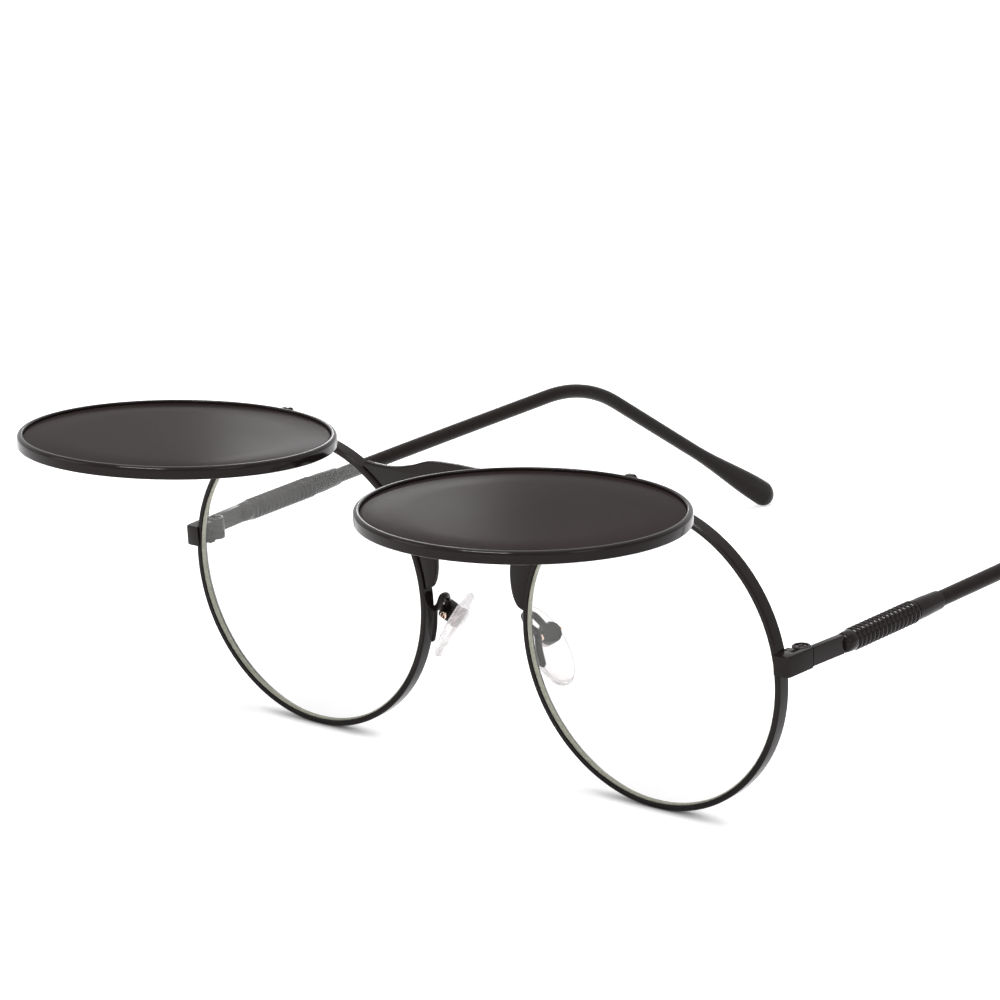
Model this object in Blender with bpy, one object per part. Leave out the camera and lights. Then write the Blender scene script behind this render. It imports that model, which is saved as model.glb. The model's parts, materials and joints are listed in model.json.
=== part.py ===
"""Round metal spectacles with a pair of flip-up dark lenses, modelled piece by piece.

Lengths are in metres and +Z is up. The wearer looks along -Y and the wearer's left is +X. Pieces of the front are
drawn in the front's own frame: ring centres at height zero, ring planes at depth zero. The empty "front" then tips
that frame forwards, so that both rims and both temple tips stand on the floor at height zero.
"""

from math import asin, atan2, ceil, cos, pi, radians, sin, sqrt, tan

import bmesh
import bpy
from mathutils import Matrix, Vector

SIDES = {"left": 1, "right": -1}

# Rims and lenses
NOSE_GAP = 0.0192
RIM_RADIUS = 0.0239
RIM_WALL = 0.0009
RIM_DEPTH = 0.0022
RIM_CHAMFER = 0.00028
GROOVE_DEPTH = 0.00045
GROOVE_FLOOR = 0.0004
LENS_THICKNESS = 0.0012
LENS_CROWN = 0.0005
LENS_CLEARANCE = 0.00008
DARK_LENS_THICKNESS = 0.001
LENS_FACE_SHARES = (0.5, 1.0)
RIM_SPLIT = 0.0003
ROUND_SEGMENTS = 48
SHARP_DEG = 35.0

# Soldered and screwed seats, and running gaps
SEAT_GAP = 0.00006
RUNNING_GAP = 0.00006
THREAD_GAP = 0.00004
HINGE_FACE_GAP = 0.00008
CUT_OVERRUN = 0.0004

# Bridge plate: its top runs out on the rim at PLATE_END_DEG above level
PLATE_THICKNESS = 0.001
PLATE_SETBACK = -0.0002
PLATE_TOP_BELOW_RIM = 0.0004
PLATE_BAND_HEIGHT = 0.005
PLATE_END_DEG = 61.6
PLATE_FOOT_HEIGHT = 0.0025
ARCH_PAST_GAP = 0.0004
PLATE_TOP_SHARES = (
    (0.0, 1.0),
    (0.17, 1.0),
    (0.357, 0.874),
    (0.52, 0.391),
    (0.684, 0.062),
    (0.84, 0.014),
    (0.95, 0.091),
)
ARCH_SHARES = (
    (0.0, 1.0),
    (0.45, 1.0),
    (0.7, 0.978),
    (0.9, 0.91),
    (1.0, 0.8),
    (0.89, 0.686),
    (0.79, 0.58),
    (0.735, 0.48),
    (0.735, 0.34),
    (0.775, 0.235),
    (0.85, 0.165),
)
PLATE_CURVE_STEPS = 3
PLATE_RIM_STEPS = 8

# End pieces and the temple hinges, measured outwards from the rim's outer edge
HINGE_PAST_RIM = 0.0003
HINGE_BEHIND_BLOCK = 0.00009
HINGE_UP = 0.0031
END_HEIGHT = 0.0032
END_LAP = 0.0011
END_FRONT = 0.0014
END_CORNER_PAST_RIM = 0.0019
END_CORNER_ROUND = 0.0005
END_ARM_FLARE = 0.0003
END_ARM_WALL = 0.0012
JOINT_GAP = 0.00015
SMALL_BEVEL = 0.00014
KNUCKLE_RADIUS = 0.0014
KNUCKLE_STACK = 0.0033
KNUCKLE_SEGMENTS = 20
RIM_CUT_SEGMENTS = 96

# Hinge screw, rim-lock screw and closing blocks
HINGE_SHAFT_RADIUS = 0.0005
HINGE_HEAD_RADIUS = 0.00095
HINGE_HEAD_HEIGHT = 0.0005
HEAD_SETBACK = 0.00008
HEAD_CHAMFER_SHARE = 0.25
RECESS_WIDTH = 0.00028
RECESS_DEPTH = 0.00025
LOCK_SHAFT_RADIUS = 0.00036
LOCK_HEAD_RADIUS = 0.0006
LOCK_HEAD_HEIGHT = 0.0003
BLOCK_WIDTH = 0.0016
BLOCK_DEPTH = 0.0013
BLOCK_LAP = 0.001
BLOCK_FOOT_DROP = 0.00015
SCREW_SEGMENTS = 16

# Temples, measured back along the temple from its hinge
TEMPLE_DROOP_DEG = 0.65
TEMPLE_RISE = 0.00005
BAR_HEIGHT = 0.0029
BAR_WALL = 0.0012
BAR_START = 0.0004
BAR_END = 0.0073
BAR_FLARE_DEG = 4.0
TUBE_FLARE_DEG = 1.0
SLEEVE_RADIUS = 0.00178
RIB_VALLEY_DEPTH = 0.00032
RIBS_START = 0.0096
RIBS_END = 0.0243
RIB_COUNT = 15
RIB_VALLEY_SHARE = 0.25
RIB_CREST_SHARE = 0.75
COLLAR_END = 0.0305
COLLAR_END_RADIUS = 0.00145
COLLAR_NECK = 0.0025
TUBE_GROOVE = 0.0003
TUBE_RADIUS = 0.00122
CORE_RADIUS = 0.0006
CORE_END = 0.13
BORE_OVERRUN = 0.0006
BEND_START = 0.0874
BEND_RADIUS = 0.034
BEND_DEG = 33.5
TIP_RUN = 0.0535
TIP_HALF_HEIGHT = 0.00232
TIP_HALF_WIDTH = 0.00165
TIP_FLARE = 0.027
TIP_END_ROUND = 0.0034
BOW_AT_TIP = 0.00215
TUBE_STEPS = 8
BEND_STEPS = 8
TIP_STEPS = 7
TIP_ROUND_STEPS = 4
TUBE_SEGMENTS = 12

# Flip lenses: hinge axis over the rim, and the open stop of each side
FLIP_AXIS_PAST_RIM = 0.001
FLIP_AXIS_ABOVE_RIM = 0.0019
FLIP_RIM_GAP = 0.00181
FLIP_RIM_DEPTH = 0.00186
FLIP_OPEN_DEG = {"left": 94.0, "right": 95.6}
FLIP_KNUCKLE_RADIUS = 0.0008
FLIP_KNUCKLE_WIDTH = 0.0014
FLIP_EAR_WALL = 0.0007
FLIP_SHAFT_RADIUS = 0.00035
FLIP_HEAD_RADIUS = 0.0006
FLIP_HEAD_HEIGHT = 0.0003
FLIP_BASE_WALL = 0.0007
FLIP_LUG_WALL = 0.0008
FLIP_LUG_INSET = 0.0001
EAR_ROUND_START_DEG = 54.0
EAR_ROUND_DEG = 162.0
EAR_ROUND_STEPS = 6
LUG_ROUND_START_DEG = -45.0
LUG_ROUND_DEG = 180.0
LUG_ROUND_STEPS = 10

# Nose pads: the rocking screw's centre, and the pad's long axis and splay
PAD_PAST_GAP = 0.0003
PAD_BEHIND_RIM = 0.0039
PAD_DROP = 0.0026
PAD_FRONTAL_DEG = 31.5
PAD_SPLAY_DEG = 10.0
PAD_LENGTH = 0.0132
PAD_WIDTH = 0.0068
PAD_THICKNESS = 0.0015
PAD_STANDOFF = 0.0012
PAD_SCREW_ABOVE_CENTRE = 0.0016
PAD_SECTION_SHARES = ((0.0, 0.86), (0.2, 1.0), (0.5, 1.0), (0.8, 0.84), (1.0, 0.5))
PAD_NARROWING_SHARE = 0.12
PAD_SEGMENTS = 28
PAD_STEM_CLEARANCE = 0.0003
PAD_STEM_REACH = 0.0007
PAD_STEM_SINK = 0.0005
PAD_BOX_RADIUS = 0.00165
PAD_BOX_FRONT = 0.0009
PAD_BOX_BACK = 0.00115
PAD_BOX_CHAMFER = 0.0004
PAD_BOX_WALL = 0.00055
PAD_BOX_FLOOR = 0.0002
PAD_SHAFT_RADIUS = 0.00032
PAD_HEAD_RADIUS = 0.00055
PAD_HEAD_HEIGHT = 0.0004
PAD_SHAFT_TAIL = 0.0006
PAD_STEM_BORE_GAP = 0.00007
PAD_WIRE_RADIUS = 0.00055
PAD_FOOT_LENGTH_DEG = 12.0
PAD_FOOT_TOP_DEG = 4.0
PAD_FOOT_SHARES = (1.0, 0.5, 0.0)
PAD_MEET_SHARES = (0.9, -0.5)
PAD_RISE_FROM_RIM = Vector((-0.0001, 0.0009, -0.0002))
PAD_PEAK_FROM_RIM = Vector((-0.0005, 0.0018, 0.0011))
PAD_WIRE_STEPS = 3
PAD_WIRE_SEGMENTS = 10
PAD_WIRE_HINT = Vector((1.0, 0.2, 0.3)).normalized()
CORE_SEGMENTS = 8

# Places that follow from the sizes above
NOSE_EDGE = Vector((NOSE_GAP / 2, RIM_DEPTH / 2, 0.0))
RING_X = NOSE_GAP / 2 + RIM_RADIUS
RIM_OUT = RING_X + RIM_RADIUS
HINGE_OUT = RIM_OUT + HINGE_PAST_RIM
HINGE_BACK = RIM_DEPTH / 2 + SEAT_GAP + BLOCK_DEPTH + HINGE_BEHIND_BLOCK + KNUCKLE_RADIUS
END_COVER_IN = RIM_OUT - END_LAP
END_CORNER_OUT = RIM_OUT + END_CORNER_PAST_RIM
END_BLOCK_BACK = RIM_DEPTH / 2
BLOCK_IN = RIM_OUT - BLOCK_LAP
PLATE_TOP = RIM_RADIUS - PLATE_TOP_BELOW_RIM
ARCH_TOP = PLATE_TOP - PLATE_BAND_HEIGHT
ARCH_HALF_WIDTH = NOSE_GAP / 2 + ARCH_PAST_GAP
KNUCKLE_HEIGHT = (KNUCKLE_STACK - 2 * HINGE_FACE_GAP) / 3
BAR_OUT = END_CORNER_OUT + END_ARM_FLARE - BAR_WALL / 2 - HINGE_OUT
TIP_START = COLLAR_END + TUBE_GROOVE
FLIP_AXIS_UP = RIM_RADIUS + FLIP_AXIS_ABOVE_RIM
FLIP_AXIS_FORWARD = RIM_DEPTH / 2 + FLIP_AXIS_PAST_RIM
FLIP_LENS_FORWARD = RIM_DEPTH / 2 + FLIP_RIM_GAP + FLIP_RIM_DEPTH / 2
FLIP_CENTRE = Vector((0.0, FLIP_AXIS_FORWARD - FLIP_LENS_FORWARD, -FLIP_AXIS_UP))
PAD_OUT = NOSE_GAP / 2 + PAD_PAST_GAP
PAD_BACK = RIM_DEPTH / 2 + PAD_BEHIND_RIM
PAD_SOCKET_RADIUS = PAD_BOX_RADIUS - PAD_BOX_WALL
PAD_STEM_RADIUS = PAD_SOCKET_RADIUS - PAD_STEM_CLEARANCE


def material(name, colour, roughness, metallic=0.0, alpha=1.0):
    """One Principled material, in linear colour."""
    made = bpy.data.materials.new(name)
    made.use_nodes = True
    shader = made.node_tree.nodes["Principled BSDF"]
    shader.inputs["Base Color"].default_value = (*colour, 1.0)
    shader.inputs["Roughness"].default_value = roughness
    shader.inputs["Metallic"].default_value = metallic
    shader.inputs["Alpha"].default_value = alpha
    made.diffuse_color = (*colour, alpha)
    return made


def empty(name, parent=None, matrix=None):
    """An empty that carries a body, placed in its parent's frame."""
    holder = bpy.data.objects.new(name, None)
    bpy.context.scene.collection.objects.link(holder)
    holder.parent = parent
    if matrix is not None:
        holder.matrix_basis = matrix
    return holder


def finish(name, shape, look, parent, matrix=None, bevel=0.0):
    """Turns a bmesh into a named object with outward faces."""
    bmesh.ops.recalc_face_normals(shape, faces=shape.faces)
    mesh = bpy.data.meshes.new(name)
    shape.to_mesh(mesh)
    shape.free()
    mesh.shade_smooth()
    mesh.set_sharp_from_angle(angle=radians(SHARP_DEG))
    made = bpy.data.objects.new(name, mesh)
    bpy.context.scene.collection.objects.link(made)
    made.parent = parent
    if matrix is not None:
        made.matrix_basis = matrix
    if look is not None:
        mesh.materials.append(look)
    if bevel:
        edge = made.modifiers.new("soft edges", "BEVEL")
        edge.width = bevel
        edge.segments = 1
        edge.limit_method = "ANGLE"
    return made


def combine(target, other, operation):
    """Adds a Boolean of a helper solid, which stays out of the model itself."""
    other.hide_render = True
    other.display_type = "WIRE"
    step = target.modifiers.new(f"{operation} {other.name}", "BOOLEAN")
    step.operation = operation
    step.object = other
    step.solver = "EXACT"
    return target


def skin(rings):
    """Joins rings of points, each to the next, and caps the first and the last."""
    shape = bmesh.new()
    loops = [[shape.verts.new(point) for point in ring] for ring in rings]
    for near, far in zip(loops, loops[1:]):
        for index, vertex in enumerate(near):
            before = index - 1
            shape.faces.new((near[before], vertex, far[index], far[before]))
    shape.faces.new(loops[0])
    shape.faces.new(loops[-1])
    return shape


def prism(outline, low, high, axis="z"):
    """Extrudes a closed outline: (x, y) along z, (x, z) along y or (y, z) along x."""
    place = {
        "x": lambda point, level: (level, point[0], point[1]),
        "y": lambda point, level: (point[0], level, point[1]),
        "z": lambda point, level: (point[0], point[1], level),
    }[axis]
    return skin([[place(point, level) for point in outline] for level in (low, high)])


def disc(radius, segments, centre=(0.0, 0.0), start=0.0):
    """Points round a circle in its own plane."""
    turns = [start + 2 * pi * step / segments for step in range(segments)]
    return [(centre[0] + radius * cos(turn), centre[1] + radius * sin(turn)) for turn in turns]


def turned(profile, segments, start=0.0):
    """A solid of revolution about z from (radius, height) points, capped at both ends."""
    return skin([[(x, y, height) for x, y in disc(radius, segments, start=start)] for radius, height in profile])


def cylinder(name, radius, low, high, parent, matrix=None, segments=KNUCKLE_SEGMENTS):
    """A plain helper cylinder along z."""
    return finish(name, turned([(radius, low), (radius, high)], segments), None, parent, matrix)


def smooth_curve(points, steps):
    """Points of a Catmull-Rom curve through the given ones."""
    ends = [2 * points[0] - points[1], *points, 2 * points[-1] - points[-2]]
    curve = []
    for a, b, c, d in zip(ends, ends[1:], ends[2:], ends[3:]):
        for step in range(steps):
            t = step / steps
            curve.append(
                0.5 * (2 * b + (c - a) * t + (2 * a - 5 * b + 4 * c - d) * t * t + (3 * b - a - 3 * c + d) * t**3)
            )
    return [*curve, points[-1]]


def ring_frame(tangent, side_hint):
    """Two unit directions square to a tangent, the first as near as can be to the hint."""
    across = (side_hint - tangent * side_hint.dot(tangent)).normalized()
    return across, tangent.cross(across).normalized()


def swept_ring(centre, tangent, half_width, half_height, segments, side_hint=Vector((1.0, 0.0, 0.0))):
    """An oval of points round a centre, square to a tangent."""
    across, up = ring_frame(tangent, side_hint)
    turns = [2 * pi * step / segments for step in range(segments)]
    return [centre + across * (half_width * cos(turn)) + up * (half_height * sin(turn)) for turn in turns]


def rim_section(half_depth):
    """The eyewire's section as (radius, depth): a flat band with a vee groove on its inside."""
    inner = RIM_RADIUS - RIM_WALL
    groove = inner + GROOVE_DEPTH
    return [
        (RIM_RADIUS, -half_depth + RIM_CHAMFER),
        (RIM_RADIUS, half_depth - RIM_CHAMFER),
        (RIM_RADIUS - RIM_CHAMFER, half_depth),
        (inner, half_depth),
        (groove, GROOVE_FLOOR / 2),
        (groove, -GROOVE_FLOOR / 2),
        (inner, -half_depth),
        (RIM_RADIUS - RIM_CHAMFER, -half_depth),
    ]


def groove_wall(depth, half_depth):
    """Radius of the groove's sloping wall at a distance from its middle plane."""
    inner = RIM_RADIUS - RIM_WALL
    return inner + GROOVE_DEPTH * (half_depth - depth) / (half_depth - GROOVE_FLOOR / 2)


def split_angles():
    """Angles of the split rim's sections, from one side of its cut round to the other."""
    gap = RIM_SPLIT / RIM_RADIUS
    first = asin(HINGE_UP / RIM_RADIUS) + gap / 2
    return [first + (2 * pi - gap) * step / ROUND_SEGMENTS for step in range(ROUND_SEGMENTS + 1)]


def split_rim(side):
    """A rim that is cut through at its end piece, where the lens goes in."""
    rings = []
    section = rim_section(RIM_DEPTH / 2)
    for angle in split_angles():
        rings.append([(side * radius * cos(angle), depth, radius * sin(angle)) for radius, depth in section])
    return skin(rings)


def whole_rim(half_depth):
    """A rim without a cut, about the y axis."""
    shape = bmesh.new()
    loops = []
    section = rim_section(half_depth)
    for step in range(ROUND_SEGMENTS):
        angle = 2 * pi * step / ROUND_SEGMENTS
        loops.append([shape.verts.new((radius * cos(angle), depth, radius * sin(angle))) for radius, depth in section])
    for index, far in enumerate(loops):
        near = loops[index - 1]
        for corner, vertex in enumerate(far):
            shape.faces.new((near[corner - 1], near[corner], vertex, far[corner - 1]))
    return shape


def lens(thickness, half_depth, crown):
    """A lens about the y axis with a vee edge that sits in the rim's groove."""
    edge = groove_wall(thickness / 2, half_depth) - LENS_CLEARANCE
    apex = RIM_RADIUS - RIM_WALL + GROOVE_DEPTH - LENS_CLEARANCE
    face_shares = LENS_FACE_SHARES if crown else LENS_FACE_SHARES[-1:]
    front = [(edge * share, -thickness / 2 - crown * (1 - share * share)) for share in face_shares]
    back = [(edge * share, thickness / 2 - crown * (1 - share * share)) for share in reversed(face_shares)]
    profile = [*front, (apex, -GROOVE_FLOOR / 4), (apex, GROOVE_FLOOR / 4), *back]
    return skin([[(x, depth, z) for x, z in disc(radius, ROUND_SEGMENTS)] for radius, depth in profile])


def plate_outline():
    """Half of the bridge plate's outline, from the top centre out and down to the arch's top centre."""
    reach = RIM_RADIUS + SEAT_GAP
    first = pi - radians(PLATE_END_DEG)
    last = pi - asin(PLATE_FOOT_HEIGHT / reach)
    along_rim = [
        Vector((RING_X + reach * cos(angle), reach * sin(angle)))
        for angle in (first + (last - first) * step / PLATE_RIM_STEPS for step in range(PLATE_RIM_STEPS + 1))
    ]
    end = along_rim[0]
    top = [Vector((x * end.x, end.y + z * (PLATE_TOP - end.y))) for x, z in PLATE_TOP_SHARES]
    arch = [Vector((x * ARCH_HALF_WIDTH, z * ARCH_TOP)) for x, z in ARCH_SHARES]
    wing = smooth_curve([along_rim[-1], *reversed(arch)], PLATE_CURVE_STEPS)
    return smooth_curve(top, PLATE_CURVE_STEPS), along_rim, wing[1:]


def bridge_plate(look, parent):
    """The flat contoured plate that joins the rims and arches over the nose."""
    top, along_rim, wing = plate_outline()
    half = [*top[1:], *along_rim, *wing[:-1]]
    outline = [top[0], *half, wing[-1], *[Vector((-point.x, point.y)) for point in reversed(half)]]
    front = PLATE_SETBACK - PLATE_THICKNESS / 2
    finish("bridge_plate", prism(outline, front, front + PLATE_THICKNESS, "y"), look, parent, bevel=SMALL_BEVEL)


def hinge_levels():
    """Bottom and top of the three knuckles, from the lowest up, about the hinge's middle."""
    pitch = KNUCKLE_HEIGHT + HINGE_FACE_GAP
    return [(level * pitch - KNUCKLE_HEIGHT / 2, level * pitch + KNUCKLE_HEIGHT / 2) for level in (-1, 0, 1)]


def cross_recess(name, top, reach, parent, matrix):
    """A cross-shaped cutter for a screw head whose top is at the given height."""
    arm = RECESS_WIDTH / 2
    outline = [(arm, arm), (arm, reach), (-arm, reach), (-arm, arm), (-reach, arm), (-reach, -arm)]
    outline += [(-arm, -arm), (-arm, -reach), (arm, -reach), (arm, -arm), (reach, -arm), (reach, arm)]
    return finish(name, prism(outline, top - RECESS_DEPTH, top + CUT_OVERRUN), None, parent, matrix)


def end_piece(name, side, look, parent):
    """The L-shaped piece that covers the rim's joint and turns back to carry the hinge's outer knuckles."""
    tag = f"end_piece_{name}"
    arm_end = HINGE_BACK + BAR_START - JOINT_GAP
    arm_out = END_CORNER_OUT + END_ARM_FLARE
    plan = [
        (END_COVER_IN, -END_FRONT),
        (END_CORNER_OUT - END_CORNER_ROUND, -END_FRONT),
        (END_CORNER_OUT, -END_FRONT + END_CORNER_ROUND),
        (arm_out, arm_end),
        (arm_out - END_ARM_WALL, arm_end),
        (arm_out - END_ARM_WALL, END_BLOCK_BACK),
        (END_COVER_IN, END_BLOCK_BACK),
    ]
    plan = [(side * x, y) for x, y in plan]
    low, high = HINGE_UP - END_HEIGHT / 2, HINGE_UP + END_HEIGHT / 2
    piece = finish(tag, prism(plan, low, high), look, parent, bevel=SMALL_BEVEL)
    seat = RIM_RADIUS + SEAT_GAP
    ring = [(side * RING_X + x, z) for x, z in disc(seat, RIM_CUT_SEGMENTS)]
    rim_cut = finish(
        f"{tag}_rim_cut",
        prism(ring, -RIM_DEPTH / 2 - SEAT_GAP, END_BLOCK_BACK + CUT_OVERRUN, "y"),
        None,
        parent,
    )
    combine(piece, rim_cut, "DIFFERENCE")
    axis = Matrix.Translation((side * HINGE_OUT, HINGE_BACK, HINGE_UP))
    lower, middle, upper = hinge_levels()
    relief = KNUCKLE_RADIUS + RUNNING_GAP
    room = cylinder(
        f"{tag}_knuckle_room", relief, middle[0] - HINGE_FACE_GAP, middle[1] + HINGE_FACE_GAP, parent, axis
    )
    combine(piece, room, "DIFFERENCE")
    for label, (bottom, top) in (("lower", lower), ("upper", upper)):
        knuckle = cylinder(f"{tag}_{label}_knuckle", KNUCKLE_RADIUS, bottom, top, parent, axis)
        combine(piece, knuckle, "UNION")
    top = upper[1]
    bore = HINGE_SHAFT_RADIUS + THREAD_GAP
    pocket = HINGE_HEAD_RADIUS + THREAD_GAP
    floor = top - HEAD_SETBACK - HINGE_HEAD_HEIGHT - THREAD_GAP
    profile = [(bore, lower[0] - CUT_OVERRUN), (bore, floor), (pocket, floor), (pocket, top + CUT_OVERRUN)]
    bore_cut = finish(f"{tag}_bore", turned(profile, KNUCKLE_SEGMENTS), None, parent, axis)
    combine(piece, bore_cut, "DIFFERENCE")


def headed_screw(name, shaft, head, head_height, tip, top, look, parent, matrix, cross=True):
    """A screw along z with its head at the top and, if it is large enough, a cross recess."""
    chamfer = (head - shaft) * HEAD_CHAMFER_SHARE
    under = top - head_height
    profile = [(shaft, tip), (shaft, under), (head, under), (head, top - chamfer), (head - chamfer, top)]
    screw = finish(name, turned(profile, SCREW_SEGMENTS), look, parent, matrix)
    if cross:
        combine(screw, cross_recess(f"{name}_recess", top, head - 2 * chamfer, parent, matrix), "DIFFERENCE")
    return screw


def hinge_screw(name, side, look, parent):
    """The cross-headed screw that pins the temple's knuckle between the end piece's two."""
    lower, _, upper = hinge_levels()
    headed_screw(
        f"temple_hinge_screw_{name}",
        HINGE_SHAFT_RADIUS,
        HINGE_HEAD_RADIUS,
        HINGE_HEAD_HEIGHT,
        lower[0] + HEAD_SETBACK,
        upper[1] - HEAD_SETBACK,
        look,
        parent,
        Matrix.Translation((side * HINGE_OUT, HINGE_BACK, HINGE_UP)),
    )


def closing_blocks(name, side, look, screw_look, parent):
    """The two blocks behind the rim's cut ends, and the screw that draws them together."""
    front = RIM_DEPTH / 2 + SEAT_GAP
    middle_x = side * (BLOCK_IN + BLOCK_WIDTH / 2)
    middle_y = front + BLOCK_DEPTH / 2
    half = BLOCK_WIDTH / 2
    plan = [(half, -BLOCK_DEPTH / 2), (half, BLOCK_DEPTH / 2), (-half, BLOCK_DEPTH / 2), (-half, -BLOCK_DEPTH / 2)]
    place = Matrix.Translation((middle_x, middle_y, HINGE_UP))
    top = END_HEIGHT / 2
    foot = -END_HEIGHT / 2 - BLOCK_FOOT_DROP
    floor = top - LOCK_HEAD_HEIGHT - THREAD_GAP
    bore = LOCK_SHAFT_RADIUS + THREAD_GAP
    pocket = LOCK_HEAD_RADIUS + THREAD_GAP
    for label, low, high in (("upper", RIM_SPLIT / 2, top), ("lower", foot, -RIM_SPLIT / 2)):
        tag = f"closing_block_{label}_{name}"
        block = finish(tag, prism(plan, low, high), look, parent, place, bevel=SMALL_BEVEL)
        if label == "upper":
            profile = [(bore, low - CUT_OVERRUN), (bore, floor), (pocket, floor), (pocket, high + CUT_OVERRUN)]
        else:
            profile = [(bore, low - CUT_OVERRUN), (bore, high + CUT_OVERRUN)]
        bore_cut = finish(f"{tag}_bore", turned(profile, SCREW_SEGMENTS), None, parent, place)
        combine(block, bore_cut, "DIFFERENCE")
    headed_screw(
        f"rim_lock_screw_{name}",
        LOCK_SHAFT_RADIUS,
        LOCK_HEAD_RADIUS,
        LOCK_HEAD_HEIGHT,
        foot + BLOCK_FOOT_DROP,
        top,
        screw_look,
        parent,
        place,
        cross=False,
    )


def route(run):
    """Centre and tangent of the temple's line, this far back from its hinge, for the left side."""
    droop = radians(TEMPLE_DROOP_DEG)
    flare = tan(radians(TUBE_FLARE_DEG))
    start = (BAR_OUT + tan(radians(BAR_FLARE_DEG)) * (BAR_END - BAR_START), BAR_END)
    straight = min(run, BEND_START)
    bent = min(max(run - BEND_START, 0.0), BEND_RADIUS * radians(BEND_DEG))
    beyond = max(run - BEND_START - BEND_RADIUS * radians(BEND_DEG), 0.0)
    slope = droop + bent / BEND_RADIUS
    back = straight * cos(droop) + BEND_RADIUS * (sin(slope) - sin(droop)) + beyond * cos(slope)
    up = TEMPLE_RISE - straight * sin(droop) - BEND_RADIUS * (cos(droop) - cos(slope)) - beyond * sin(slope)
    out = start[0] + flare * (back - start[1])
    lean = flare
    past = back - COLLAR_END
    if past > 0:
        full = temple_reach() - COLLAR_END
        curve = (start[0] + flare * (COLLAR_END - start[1]) + flare * full - BOW_AT_TIP) / full**2
        out -= curve * past**2
        lean -= 2 * curve * past
    tangent = Vector((lean * cos(slope), cos(slope), -sin(slope))).normalized()
    return Vector((out, back, up)), tangent


def temple_length():
    """Length of the temple's line from its hinge to its end."""
    return BEND_START + BEND_RADIUS * radians(BEND_DEG) + TIP_RUN


def temple_reach():
    """How far back the temple's end lies from its hinge."""
    droop = radians(TEMPLE_DROOP_DEG)
    slope = droop + radians(BEND_DEG)
    return BEND_START * cos(droop) + BEND_RADIUS * (sin(slope) - sin(droop)) + TIP_RUN * cos(slope)


def route_ring(run, side, half_width, half_height, segments):
    """A ring of points round the temple's line, mirrored on the right."""
    centre, tangent = route(run)
    ring = swept_ring(centre, tangent, half_width, half_height, segments)
    return [Vector((side * point.x, point.y, point.z)) for point in ring]


def temple_bar(name, side, look, parent):
    """The flat bar at the front of the temple, with the hinge's middle knuckle."""
    tag = f"temple_bar_{name}"
    shift = tan(radians(BAR_FLARE_DEG)) * (BAR_END - BAR_START)
    half = BAR_WALL / 2
    plan = [
        (BAR_OUT - half, BAR_START),
        (BAR_OUT + half, BAR_START),
        (BAR_OUT + shift + half, BAR_END),
        (BAR_OUT + shift - half, BAR_END),
    ]
    plan = [(side * x, y) for x, y in plan]
    droop = Matrix.Rotation(-radians(TEMPLE_DROOP_DEG), 4, "X") @ Matrix.Translation((0.0, 0.0, TEMPLE_RISE))
    bar = finish(tag, prism(plan, -BAR_HEIGHT / 2, BAR_HEIGHT / 2), look, parent, droop, bevel=SMALL_BEVEL)
    lower, middle, upper = hinge_levels()
    relief = KNUCKLE_RADIUS + RUNNING_GAP
    for label, (bottom, top) in (("lower", lower), ("upper", upper)):
        low = bottom - CUT_OVERRUN if label == "lower" else bottom - HINGE_FACE_GAP
        high = top + CUT_OVERRUN if label == "upper" else top + HINGE_FACE_GAP
        combine(bar, cylinder(f"{tag}_{label}_room", relief, low, high, parent), "DIFFERENCE")
    combine(bar, cylinder(f"{tag}_knuckle", KNUCKLE_RADIUS, *middle, parent), "UNION")
    bore = HINGE_SHAFT_RADIUS + RUNNING_GAP
    bore_cut = cylinder(f"{tag}_bore", bore, middle[0] - CUT_OVERRUN, middle[1] + CUT_OVERRUN, parent)
    combine(bar, bore_cut, "DIFFERENCE")


def ribbed_sleeve(name, side, look, parent):
    """The ribbed sleeve over the temple's core: a smooth collar, then ribs that look like a wound spring."""
    pitch = (RIBS_END - RIBS_START) / RIB_COUNT
    valley = SLEEVE_RADIUS - RIB_VALLEY_DEPTH
    outer = [(BAR_END + SEAT_GAP, SLEEVE_RADIUS), (RIBS_START, SLEEVE_RADIUS)]
    for rib in range(RIB_COUNT):
        outer.append((RIBS_START + (rib + RIB_VALLEY_SHARE) * pitch, valley))
        outer.append((RIBS_START + (rib + RIB_CREST_SHARE) * pitch, SLEEVE_RADIUS))
    outer.append((RIBS_END, SLEEVE_RADIUS))
    bore = CORE_RADIUS + SEAT_GAP
    rings = [route_ring(run, side, radius, radius, TUBE_SEGMENTS) for run, radius in outer]
    bore_rings = [route_ring(run, side, bore, bore, TUBE_SEGMENTS) for run in (outer[-1][0], outer[0][0])]
    closed_tube(f"temple_sleeve_{name}", rings, bore_rings, look, parent)


def closed_tube(name, outer_rings, bore_rings, look, parent):
    """A tube open at both ends, whose bore runs back from the last outer ring to the first."""
    shape = bmesh.new()
    loops = [[shape.verts.new(point) for point in ring] for ring in (*outer_rings, *bore_rings)]
    for near, far in zip([loops[-1], *loops], loops):
        for index, vertex in enumerate(near):
            shape.faces.new((near[index - 1], vertex, far[index], far[index - 1]))
    return finish(name, shape, look, parent)


def temple_collar(name, side, look, parent):
    """The smooth tapered collar between the ribs and the covered part of the temple."""
    start = RIBS_END + SEAT_GAP
    outer = [(start, SLEEVE_RADIUS - RIB_VALLEY_DEPTH), (start + COLLAR_NECK, SLEEVE_RADIUS - RIB_VALLEY_DEPTH / 2)]
    outer += [(COLLAR_END - COLLAR_NECK, COLLAR_END_RADIUS), (COLLAR_END, COLLAR_END_RADIUS)]
    bore = CORE_RADIUS + SEAT_GAP
    rings = [route_ring(run, side, radius, radius, TUBE_SEGMENTS) for run, radius in outer]
    bore_rings = [route_ring(run, side, bore, bore, TUBE_SEGMENTS) for run in (COLLAR_END, start)]
    closed_tube(f"temple_collar_{name}", rings, bore_rings, look, parent)


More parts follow.
